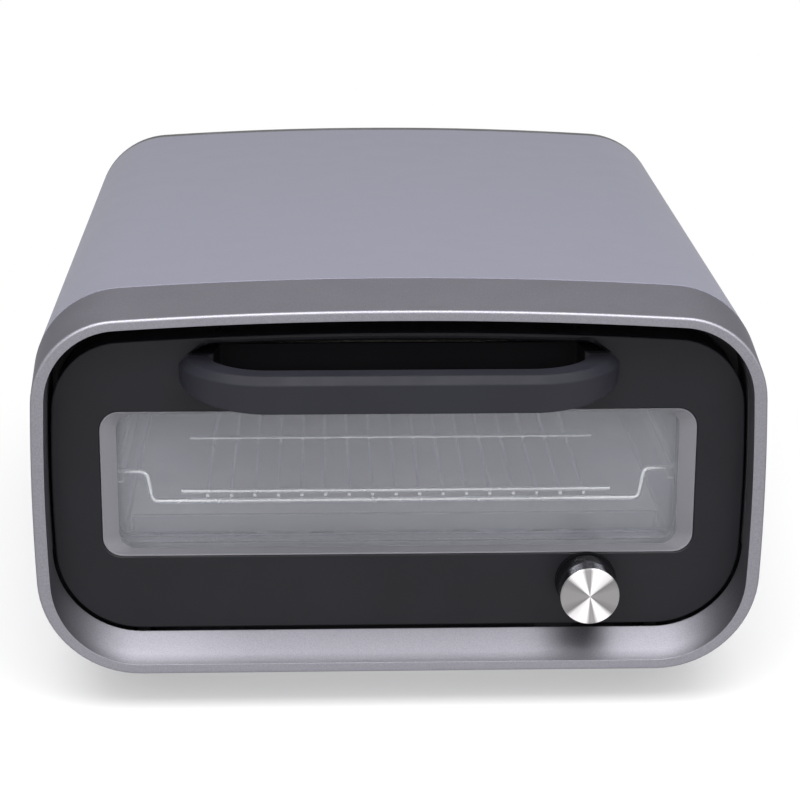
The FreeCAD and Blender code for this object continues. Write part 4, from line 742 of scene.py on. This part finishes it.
sprayed_paint("shell_paint", (0.177, 0.177, 0.227), 0.5, 0.25, 0.04, 0.22, 0.8, lacquer=0.08)
sprayed_paint("ring_paint", (0.264, 0.258, 0.289), 0.42, 0.95, 0.1, edge=0.2)
moulded_plastic("door_paint", (0.008, 0.008, 0.011), 0.44, 500.0, 0.15, 0.22)
moulded_plastic("door_enamel", (0.07, 0.07, 0.076), 0.35, 300.0, 0.12)
moulded_plastic("handle_finish", (0.016, 0.016, 0.022), 0.54, gloss=0.16)
moulded_plastic("recess_finish", (0.004, 0.004, 0.005), 0.6, gloss=0.05)
sprayed_paint("bezel_finish", (0.172, 0.17, 0.189), 0.45, 0.05, 0.03)
window_glass("outer_pane", (0.44, 0.45, 0.51), 0.1, 2.6, 0.02)
window_glass("inner_pane", (0.54, 0.56, 0.65), 0.13, 2.5, 0.05)
spun_metal("knob_face", (0.36, 0.35, 0.355), 0.5, knob_place)
turned_sleeve("knob_side", (0.07, 0.07, 0.073), knob_place)
moulded_plastic("knob_gloss", (0.003, 0.003, 0.004), 0.3, gloss=0.2)
moulded_plastic("jet_plastic", (0.002, 0.002, 0.003), 0.55, gloss=0.1)
rolled_metal("rack_chrome", (0.93, 0.94, 0.95), 0.22, (60.0, 60.0, 60.0), 1.0, 0.04)
rolled_metal("cavity_steel", (0.68, 0.69, 0.72), 0.4, (140.0, 6.0, 6.0), 0.8, 0.1)
rolled_metal("zinc_steel", (0.6, 0.61, 0.62), 0.42)
rolled_metal("screw_steel", (0.5, 0.5, 0.51), 0.3)
rolled_metal("hinge_steel", (0.06, 0.06, 0.065), 0.45)
moulded_plastic("black_sheet", (0.07, 0.07, 0.078), 0.5, gloss=0.3)
moulded_plastic("cover_plastic", (0.02, 0.02, 0.023), 0.5, 450.0)
moulded_plastic("inlet_plastic", (0.01, 0.01, 0.011), 0.35, 500.0)
moulded_plastic("soft_rubber", (0.015, 0.015, 0.016), 0.75)
rolled_metal("element_finish", (0.12, 0.12, 0.12), 0.48, (8.0, 90.0, 8.0), 0.8, 0.2)
baked_stone("cordierite", (0.62, 0.59, 0.54))
matted_fibre("gasket_fibre", (0.05, 0.048, 0.045), 700.0)
matted_fibre("mineral_wool", (0.55, 0.53, 0.46))
printed_board("board_lacquer", (0.02, 0.1, 0.045))
moulded_plastic("component_plastic", (0.02, 0.02, 0.02), 0.45)
rolled_metal("brass", (0.72, 0.52, 0.22), 0.3)
rolled_metal("fan_metal", (0.7, 0.71, 0.72), 0.35)

# Finish of each CAD node that stays as it is
node_finishes = {
    "zinc_steel": ("base_pan", "stone_support", "heat_shield", "bay_bracket", "fan_housing"),
    "cavity_steel": ("cavity_liner", "element_brackets"),
    "black_sheet": ("face_frame", "door_surround"),
    "screw_steel": ("handle_screws", "thermocouple", "knob_shaft"),
    "hinge_steel": ("hinge_bracket_left", "hinge_bracket_right", "hinge_pins"),
    "component_plastic": ("safety_thermostat", "fan_motor", "power_components", "encoder_body", "encoder_plunger"),
    "mineral_wool": ("insulation_blanket", "door_insulation"),
    "board_lacquer": ("power_board", "control_board"),
    "brass": ("board_standoffs", "control_posts"),
    "fan_metal": ("fan_impeller", "glass_spacer"),
    "outer_pane": ("outer_glass",),
    "inner_pane": ("inner_glass",),
}
for finish, nodes in node_finishes.items():
    for node in nodes:
        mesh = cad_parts[node].data
        mesh.materials.clear()
        mesh.materials.append(finishes[finish].material)


# Body pieces

def make_ring():
    """Cast front ring: a tapered band, a rounded rim, and an opening whose floor rises to the door."""
    def band(depth, extra=0.0, lean=1.0):
        taper = ring_taper * (1 - depth / ring_depth)
        return body_outline(depth, taper + extra, taper + extra, taper + extra * lean)

    def throat(depth, extra=0.0):
        rise = ledge_rise * max(0.0, (depth - 1 * mm) / (ledge_depth - 1 * mm))
        inset = ring_taper + extra
        return body_outline(depth, inset + rim_side, inset + rim_top, inset + rim_bottom + rise)

    loops = [band(ring_depth, 0.3 * mm), band(ring_depth - 0.3 * mm)]
    loops += [band(depth, extra, rim_lean) for depth, extra in round_over(0.0, ring_edge, 5, 1)]
    loops += [throat(depth, extra) for depth, extra in reversed(round_over(0.0, rim_inner_edge, 3, -1))]
    loops += [throat(step * ledge_depth / ledge_steps) for step in range(1, ledge_steps + 1)]
    loops += [throat(ledge_depth, -ring_return), band(ledge_depth + 2 * mm, ring_wall), band(ring_depth, ring_wall)]
    finish_piece("ring_casting", skinned(loops), "ring_paint", "oven", ["front_ring"])


def make_shell():
    """Thin wrapped shell, open under the oven where the base pan lies."""
    node_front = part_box("outer_shell")[0].y - ring_front
    node_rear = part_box("outer_shell")[1].y - ring_front
    edge = 0.4 * mm
    spans = 5
    sections = [(node_front, edge), (node_front + edge, 0.0)]
    sections += [(node_front + (node_rear - node_front) * step / spans, 0.0) for step in range(1, spans + 1)]
    sections += [(node_rear, sheet), (node_front, sheet)]
    shape = skinned(body_loops(sections))
    bmesh.ops.remove_doubles(shape, verts=shape.verts[:], dist=same_point)
    opening = [
        face for face in shape.faces
        if abs(face.calc_center_median().x) < base_half_width and face.calc_center_median().z < foot_height + 2 * mm
    ]
    bmesh.ops.delete(shape, geom=opening, context="FACES")
    rims = [edge for edge in shape.edges if edge.is_boundary]
    bmesh.ops.holes_fill(shape, edges=rims, sides=0)
    finish_piece("wrapped_shell", shape, "shell_paint", "oven", ["outer_shell"])


def make_door_panel():
    """Moulded door front with a rounded edge, a window, a finger recess and a hole for the knob's shaft."""
    front, back = door_front, door_front + door_wall
    lip = 0.5 * mm
    shape = bmesh.new()
    skirt = [door_outline(back, -door_wall), door_outline(panel_rear, -door_wall), door_outline(panel_rear)]
    skirt += [door_outline(depth, -extra) for depth, extra in round_over(front, door_edge, 4, 1)]
    window = [window_outline(back), window_outline(front + lip), window_outline(front, -lip)]
    recess = [recess_outline(back, recess_lip), recess_outline(front + lip, lip), recess_outline(front, -lip * 0.6)]
    shaft = bore(knob_place.x, knob_place.z, [(shaft_hole, back), (shaft_hole, front)])
    plate(shape, [skirt, window, recess, shaft], -1)
    finish_piece("door_front", shape, "door_paint", "door", ["door_panel"])


def make_recess():
    """Deep black tub that the fingers reach into behind the handle."""
    start = door_front + door_wall
    end = start + recess_depth
    floor = recess_lip + recess_draft
    wall = 1.2 * mm
    turn = ((3.0, -0.6, 4.0), (1.2, -0.1, 5.0), (0.3, 0.8, 5.0), (0.0, 2.2, 5.0))
    shape = bmesh.new()
    loops = [recess_outline(start, recess_lip)]
    loops += [recess_outline(end - back * mm, floor + inset * mm, corner * mm) for back, inset, corner in turn]
    fill(shape, skin(shape, loops)[-1], (0, -1, 0))
    bmesh.ops.recalc_face_normals(shape, faces=shape.faces)
    bmesh.ops.solidify(shape, geom=shape.faces, thickness=-wall)
    finish_piece("recess_tub", shape, "recess_finish", "door", ["recess_cup"])


def make_bezel():
    """Sloping frame between the door's face and the glass."""
    front = door_front + bezel_set
    rear = front + bezel_depth
    sections = [
        (front + 0.2 * mm, 0.3 * mm),
        (front, 0.5 * mm),
        (front, bezel_side_rim, bezel_rim - 0.2 * mm, bezel_side_rim),
        (front + 0.25 * mm, bezel_side_rim + 0.3 * mm, bezel_rim, bezel_side_rim + 0.2 * mm),
        (rear - 0.5 * mm, bezel_side - 0.6 * mm, bezel_bottom - 0.2 * mm, bezel_top - 0.3 * mm, 10 * mm),
        (rear, bezel_side, bezel_bottom, bezel_top, 10 * mm),
        (rear, bezel_side - 2 * mm, bezel_bottom - 2 * mm, bezel_top - 2 * mm),
        (door_front + door_wall, 0.3 * mm),
    ]
    shape = skinned([window_outline(*section) for section in sections])
    finish_piece("window_frame", shape, "bezel_finish", "door", ["window_bezel"])


def make_handle():
    """Bar handle: one chamfered section swept forward out of the door, along the front and back again."""
    shape = bmesh.new()
    inner = handle_half - handle_section_depth
    small = 1.2 * mm
    section = [
        (handle_half, handle_low + small), (handle_half, handle_top - handle_chamfer),
        (handle_half - handle_chamfer, handle_top), (inner, handle_top), (inner, handle_low),
        (handle_half - small, handle_low),
    ]
    centre_y = ring_front + handle_front + handle_corner
    rim = draw_loop(shape, [Vector((-x, centre_y, z)) for x, z in section])
    face = bmesh.ops.contextual_create(shape, geom=rim)["faces"][0]
    bevel(shape, face.verts[:], 0.7 * mm, 3, affect="VERTICES")
    bmesh.ops.delete(shape, geom=shape.faces[:], context="FACES_ONLY")
    ring = shape.edges[:]
    straight = 2 * (handle_half - handle_corner)
    for side in (-1, 1):
        centre = (side * straight / 2, centre_y, handle_low)
        ring = sweep(shape, verts_of(ring) + ring, centre, (0, 0, 1), math.pi / 2, 28)
        if side < 0:
            ring = push(shape, ring, Vector((straight, 0, 0)))
    for vert in shape.verts:
        if vert.co.z < (handle_low + handle_top) / 2:
            share = (vert.co.y - ring_front - handle_front) / (door_front - handle_front)
            vert.co.z += handle_rise * share
    cut = bmesh.ops.bisect_plane(
        shape, geom=shape.verts[:] + shape.edges[:] + shape.faces[:], dist=same_point / 10,
        plane_co=(0, ring_front + door_front, 0), plane_no=(0, 1, 0), clear_outer=True, clear_inner=False,
    )
    bmesh.ops.holes_fill(shape, edges=edges_in(cut["geom_cut"]), sides=0)
    finish_piece("handle_grip", shape, "handle_finish", "door", ["handle_bar"])


def make_knob():
    """Spun disc on a polished sleeve, a gloss black grip behind it, and a raised collar round its foot."""
    def near(radius, depth, *moves):
        """Points of a profile, at moves in millimetres from a radius and a depth."""
        return [(radius + out * mm, depth + back * mm) for out, back in moves]

    centre = knob_place + Vector((0, ring_front, 0))
    r, rim, bore_r = knob_radius, knob_collar_radius, collar_bore
    back = knob_front + knob_cap_side
    parts = {
        "disc": [(0, knob_front)] + near(r, knob_front, (-1.3, 0), (-0.5, 0.25), (-0.1, 0.8)) + [(r, back), (0, back)],
        "sleeve": [(0, back)] + near(r, back, (-0.2, 0), (0, 0.3))
        + near(r, knob_band, (0, -0.4), (-0.6, 0), (-1.4, 0)) + [(0, knob_band)],
        "grip": [(0, knob_band)] + near(r, knob_band, (-1.4, 0), (-1.4, 0.8), (-0.5, 0.9), (0, 1.5))
        + near(r, knob_rear, (0, -0.6), (-0.6, 0), (-2.2, 0)) + near(r, knob_band, (-2.2, 3))
        + near(0, knob_band, (3.1, 3), (3.1, 2), (0, 2)),
        "collar": [(bore_r, door_front), (bore_r, collar_front)]
        + near(rim, collar_front, (-0.8, 0), (-0.2, 0.3), (0, 0.8)) + [(rim, door_front), (bore_r, door_front)],
    }
    shapes = {}
    for part, profile in parts.items():
        shapes[part] = bmesh.new()
        lathe(shapes[part], profile, centre, (0, 1, 0), 96)
    finish_piece("knob_disc", shapes["disc"], "knob_face", "knob", ["knob_cap"])
    finish_piece("knob_sleeve", shapes["sleeve"], "knob_side", "knob", [])
    finish_piece("knob_grip", shapes["grip"], "knob_gloss", "knob", ["knob_skirt"])
    finish_piece("knob_foot", shapes["collar"], "jet_plastic", "door", ["knob_collar"])


# Back and underside

def under_roof(x, below):
    """Place under the shell's arched top."""
    return x, foot_height + shell_height - arch_drop(x) - below


def both_sides(*places):
    return [(side * x, z) for side in (-1, 1) for x, z in places]


side_screw_z = foot_height + (shell_height - shell_crown) / 2
rear_screws = both_sides((210 * mm, side_screw_z), under_roof(110 * mm, 15 * mm))
frame_screws = both_sides(
    (219.1 * mm, side_screw_z), under_roof(70 * mm, frame_screw_inset), (70 * mm, foot_height + frame_screw_inset)
)


def slot_points(x, z, depth, length, width, steps=6):
    """Outline of a round-ended slot along X."""
    half = (length - width) / 2
    right = arc_points((x + half, z), width / 2, -math.pi / 2, math.pi / 2, steps, whole=True)
    left = arc_points((x - half, z), width / 2, math.pi / 2, 3 * math.pi / 2, steps, whole=True)
    return at_depth(right + left, depth)


def inlet_points(depth, grow=0.2 * mm):
    """Opening for the mains inlet: a block with two cut lower corners."""
    w, h, cut = inlet_half + grow, inlet_rise + grow, 6 * mm
    corners = [(-w, h), (-w, cut - h), (cut - w, -h), (w - cut, -h), (w, cut - h), (w, h)]
    return at_depth([(inlet_x + x, inlet_z + z) for x, z in corners], depth)


def make_rear_cover():
    """Moulded back with a rounded edge, two fields of vent slots, screw pockets and the inlet's opening."""
    rear, wall, lip = cover_rear, cover_wall, 0.5 * mm
    inner = rear - wall
    shape = bmesh.new()
    sections = [(inner, wall + cover_round - 1 * mm), (rear - cover_round - 1 * mm, wall), (cover_front, wall)]
    sections += [(cover_front, 0.3 * mm), (cover_front + 0.3 * mm, 0.0)] + round_over(rear, -cover_round, 6, -1)
    lowest = fan_z - (fan_vent_rows - 1) / 2 * vent_pitch
    slots = [(fan_x, lowest + row * vent_pitch, fan_vent_length) for row in range(fan_vent_rows)]
    slots += [(board_x, board_vents_z + row * vent_pitch, board_vent_length) for row in range(board_vent_rows)]
    openings = [body_loops(sections)]
    for x, z, length in slots:
        straight = [slot_points(x, z, depth, length, vent_width) for depth in (inner, rear - lip)]
        openings.append(straight + [slot_points(x, z, rear, length + lip, vent_width + lip)])
    pocket = 3.4 * mm
    for x, z in rear_screws:
        openings.append(bore(x, z, [(pocket, inner), (pocket, rear - lip), (pocket + lip / 2, rear)]))
    openings.append([inlet_points(inner), inlet_points(rear)])
    plate(shape, openings, 1)
    seat = rear - screw_sink
    for x, z in rear_screws:
        boss = [(screw_bore, cover_front), (boss_radius, cover_front), (boss_radius, seat), (screw_bore, seat)]
        lathe(shape, boss + boss[:1], Vector((x, ring_front, z)), (0, 1, 0), 24)
    finish_piece("back_cover", shape, "cover_plastic", "oven", ["rear_cover"])


def make_feet():
    """Turned rubber feet with a groove round them and a bore for the screw."""
    profile = [
        (1.7, 9.0), (4.0, 9.0), (4.0, 0.6), (4.5, 0.1), (5.0, 0.0), (10.2, 0.0), (11.0, 0.4), (12.4, 2.0), (12.7, 6.0),
        (12.2, 6.5), (12.2, 7.3), (12.85, 7.8), (13.4, 14.0), (14.0, 18.0), (14.0, 21.4), (13.4, 22.0), (1.7, 22.0),
        (1.7, 9.0),
    ]
    for (x, y), place in zip(foot_places, ("front_left", "rear_left", "front_right", "rear_right")):
        shape = bmesh.new()
        lathe(shape, [(r * mm, z * mm) for r, z in profile], Vector((x, ring_front + y, 0)), (0, 0, 1), 48)
        finish_piece("rubber_" + place, shape, "soft_rubber", "oven", ["foot_" + place])


def rear_facing_screws(shape, places, depth, length):
    """Screws driven towards the front, their heads against one depth."""
    for x, z in places:
        pan_screw(shape, Vector((x, ring_front + depth, z)), Vector((0, -1, 0)), length=length)


def make_case_screws():
    """Screws that hold the feet, the rear cover, the face frame and the door's back."""
    shape = bmesh.new()
    for x, y in foot_places:
        pan_screw(shape, Vector((x, ring_front + y, 9 * mm)), Vector((0, 0, 1)), length=16.5 * mm)
    rear_facing_screws(shape, rear_screws, cover_rear - screw_sink, 15.5 * mm)
    rear_facing_screws(shape, frame_screws, frame_front + 1.5 * mm, 13.5 * mm)
    finish_piece("case_screws", shape, "screw_steel", "oven", ["body_screws"])
    shape = bmesh.new()
    rear_facing_screws(shape, door_screw_places, door_rear, 7.5 * mm)
    finish_piece("door_back_screws", shape, "screw_steel", "door", ["door_screws"])


# Cavity

def make_stone():
    """Fired baking stone with rounded corners and softened edges."""
    shape = bmesh.new()
    middle = Vector((0, ring_front + stone_front + stone_depth / 2, stone_top - stone_thickness / 2))
    size = Vector((2 * stone_half, stone_depth, stone_thickness))
    bmesh.ops.create_cube(shape, size=1.0, matrix=Matrix.LocRotScale(middle, None, size))
    upright = [edge for edge in shape.edges if abs(edge.verts[0].co.z - edge.verts[1].co.z) > stone_thickness / 2]
    bevel(shape, upright, 6 * mm, 8)
    rims = [edge for edge in shape.edges if edge.calc_face_angle(0.0) > stone_edge_angle]
    bevel(shape, rims, 1.2 * mm, 3)
    finish_piece("baking_slab", shape, "cordierite", "oven", ["baking_stone"])


def make_elements():
    """Sheathed heaters: parallel runs front to back, joined by half-round bends."""
    xs = [(2 * run - element_runs + 1) * element_bend for run in range(element_runs)]
    for name, z in (("lower", lower_element_z), ("upper", upper_element_z)):
        path = [(xs[0], ring_front + element_end, z)]
        for turn, (here, after) in enumerate(zip(xs, xs[1:])):
            y = ring_front + (element_rear if turn % 2 else element_front)
            path += [(here, y, z), (after, y, z)]
        path.append((xs[-1], ring_front + element_end, z))
        shape = bmesh.new()
        tube(shape, path, element_radius, element_bend, 18, 16)
        finish_piece(name + "_heater", shape, "element_finish", "oven", [name + "_element"])


def make_rack():
    """Chromed wire rack: a dropped frame with raised ends, long wires, and cross rods over them."""
    front, rear = ring_front + rack_front, ring_front + rack_rear
    half_loop = [(0, rack_low), (rack_bend_x, rack_low), (rack_step_x, rack_high), (rack_half, rack_high)]
    loop = [(x, front, z) for x, z in half_loop] + [(x, rear, z) for x, z in reversed(half_loop)]
    shape = bmesh.new()
    tube(shape, loop, rack_rod, rack_bend, 16, 8, capped=False)
    bmesh.ops.mirror(shape, geom=shape.verts[:] + shape.edges[:] + shape.faces[:], axis="X", merge_dist=same_point)
    finish_piece("rack_loop", shape, "rack_chrome", "rack", ["rack_frame"])
    shape = bmesh.new()
    wire_z = rack_low + rack_rod + rack_wire + weld_gap
    for wire in range(rack_wire_count):
        x = (wire - (rack_wire_count - 1) / 2) * rack_wire_pitch
        ends = (front - rack_wire_overhang, rear + rack_wire_overhang)
        tube(shape, [(x, y, wire_z) for y in ends], rack_wire, sides=10)
    cross_z = wire_z + rack_wire + rack_top_rod + weld_gap
    for step in range(rack_cross_rods):
        y = front + (rear - front) * step / (rack_cross_rods - 1)
        tube(shape, [(x, y, cross_z) for x in (-rack_reach, rack_reach)], rack_top_rod, sides=12)
    finish_piece("rack_grid", shape, "rack_chrome", "rack", ["rack_wires"])


def make_gasket():
    """Woven seal round the cavity's mouth, with a rounded face towards the door."""
    start, end = door_rear + 0.4 * mm, frame_front
    half, low, high, corner = 187 * mm, 89.2 * mm, 203.2 * mm, 12 * mm
    width = 7 * mm
    loops = []
    for share, depth in ((0.0, end), (0.0, end - 0.6 * mm), (0.1, start + 0.4 * mm), (0.3, start), (0.7, start),
                         (0.9, start + 0.4 * mm), (1.0, end - 0.6 * mm), (1.0, end)):
        grow = width * share
        loops.append(rounded_outline(depth, -half - grow, half + grow, low - grow, high + grow, corner + grow))
    finish_piece("mouth_seal", skinned(loops), "gasket_fibre", "oven", ["door_gasket"])


def make_door_back():
    """Pressed steel back of the door, its window folded in to a seat for the inner glass."""
    front, rear = door_rear - back_sheet, door_rear
    half, low, high = glass_half + 2 * mm, glass_low - 2 * mm, glass_high + 2 * mm
    turn = 0.8 * mm
    shape = bmesh.new()
    skirt = [door_outline(front, -0.2 * mm), door_outline(rear - 0.5 * mm, -0.2 * mm), door_outline(rear, -0.8 * mm)]

    def seat(depth, grow):
        return rounded_outline(depth, -half - grow, half + grow, low - grow, high + grow, 9 * mm + max(grow, 0))

    well = [
        seat(front, 6 * mm), seat(glass_rear + turn, 6 * mm), seat(glass_rear, 6 * mm - turn), seat(glass_rear, turn),
        seat(glass_rear + turn, 0.0), seat(rear - turn, 0.0), seat(rear, turn),
    ]
    holes = [bore(x, z, [(screw_bore, front), (screw_bore, rear)], 16) for x, z in door_screw_places]
    plate(shape, [skirt, well] + holes, 1)
    finish_piece("door_back", shape, "door_enamel", "door", ["door_inner_frame"])


def make_pressed_parts():
    """Pressed and moulded pieces that keep their CAD shape, with rounded edges."""
    soften("inlet_socket", "mains_inlet", "inlet_plastic", "oven", 0.35 * mm)
    soften("cable_tongue", "cable_cover", "jet_plastic", "door", 0.25 * mm)
    for side in ("left", "right"):
        soften("goose_neck_" + side, "hinge_arm_" + side, "hinge_steel", "door", 0.5 * mm)
        soften("rack_rail_" + side, "side_rail_" + side, "cavity_steel", "oven", 0.3 * mm)


make_ring()
make_shell()
make_door_panel()
make_recess()
make_bezel()
make_handle()
make_knob()
make_rear_cover()
make_feet()
make_case_screws()
make_stone()
make_elements()
make_rack()
make_gasket()
make_door_back()
make_pressed_parts()


# Stage, light and camera

def backdrop_seen(tree):
    """Share of white that the camera, gloss and glass see in place of the lit floor or sky."""
    path = tree.nodes.new("ShaderNodeLightPath").outputs
    seen = path["Is Camera Ray"]
    for kind in ("Is Glossy Ray", "Is Transmission Ray"):
        seen = add_node(tree, "ShaderNodeMath", {0: seen, 1: path[kind]}, operation="MAXIMUM").outputs["Value"]
    return seen


def make_stage():
    """Pale floor that keeps the oven's soft shadow and turns white away from it."""
    finish = Finish("pale_floor", (0.95, 0.95, 0.95), 0.9, gloss=0.0)
    distance = finish.node("ShaderNodeVectorMath", {0: finish.place}, operation="LENGTH").outputs["Value"]
    entries = {"Value": distance, "From Min": shadow_reach, "From Max": white_reach, "To Min": near_white}
    far = finish.node("ShaderNodeMapRange", entries, interpolation_type="SMOOTHSTEP").outputs["Result"]
    share = finish.maths("MULTIPLY", far, backdrop_seen(finish.tree))
    white = finish.node("ShaderNodeEmission").outputs["Emission"]
    mix = finish.node("ShaderNodeMixShader", {0: share, 1: finish.shader.outputs["BSDF"], 2: white})
    finish.tree.links.new(mix.outputs["Shader"], finish.tree.nodes["Material Output"].inputs["Surface"])
    shape = bmesh.new()
    bmesh.ops.create_grid(shape, x_segments=1, y_segments=1, size=floor_half)
    floor = stand_mesh("floor", shape, "pale_floor")


def make_world():
    """Plain soft surroundings, seen as white by the camera and in gloss and glass."""
    world = bpy.data.worlds.new("studio")
    bpy.context.scene.world = world
    world.use_nodes = True
    tree = world.node_tree
    tree.nodes.clear()
    light, white = [
        add_node(tree, "ShaderNodeBackground", {"Color": (1, 1, 1, 1), "Strength": strength}).outputs["Background"]
        for strength in (sky_light, 1.0)
    ]
    sky = add_node(tree, "ShaderNodeMixShader", {0: backdrop_seen(tree), 1: light, 2: white})
    add_node(tree, "ShaderNodeOutputWorld", {"Surface": sky.outputs["Shader"]})


def make_lamp(name, place, target, size, power):
    """Rectangular area lamp, turned to a point."""
    lamp = bpy.data.lights.new(name, "AREA")
    lamp.shape = "RECTANGLE"
    lamp.size, lamp.size_y = size
    lamp.energy = power
    holder = stand(name, lamp)
    holder.location = place
    holder.rotation_euler = (Vector(target) - Vector(place)).to_track_quat("-Z", "Y").to_euler()


def make_camera():
    """The photograph's camera: level and looking along Y, then rolled, pitched and turned."""
    camera = bpy.data.cameras.new("camera")
    camera.sensor_width = film_width
    camera.lens = focal_pixels / photo_size * film_width
    holder = stand("camera", camera)
    turn = Matrix.Rotation(-camera_yaw, 4, "Z") @ Matrix.Rotation(math.pi / 2 - camera_pitch, 4, "X")
    holder.matrix_world = Matrix.Translation(camera_place) @ turn @ Matrix.Rotation(camera_roll, 4, "Z")
    bpy.context.scene.camera = holder


make_stage()
make_world()
make_lamp("key_light", (-0.85, -1.6, 1.15), (0.0, -0.1, 0.1), (1.1, 1.4), 10.0)
make_lamp("fill_light", (1.2, -1.45, 1.2), (0.0, -0.1, 0.1), (1.4, 1.4), 11.5)
make_lamp("top_light", (0.0, -0.85, 1.85), (0.0, -0.2, 0.1), (2.4, 1.5), 50.0)
make_camera()
bpy.context.scene.view_settings.view_transform = "Standard"
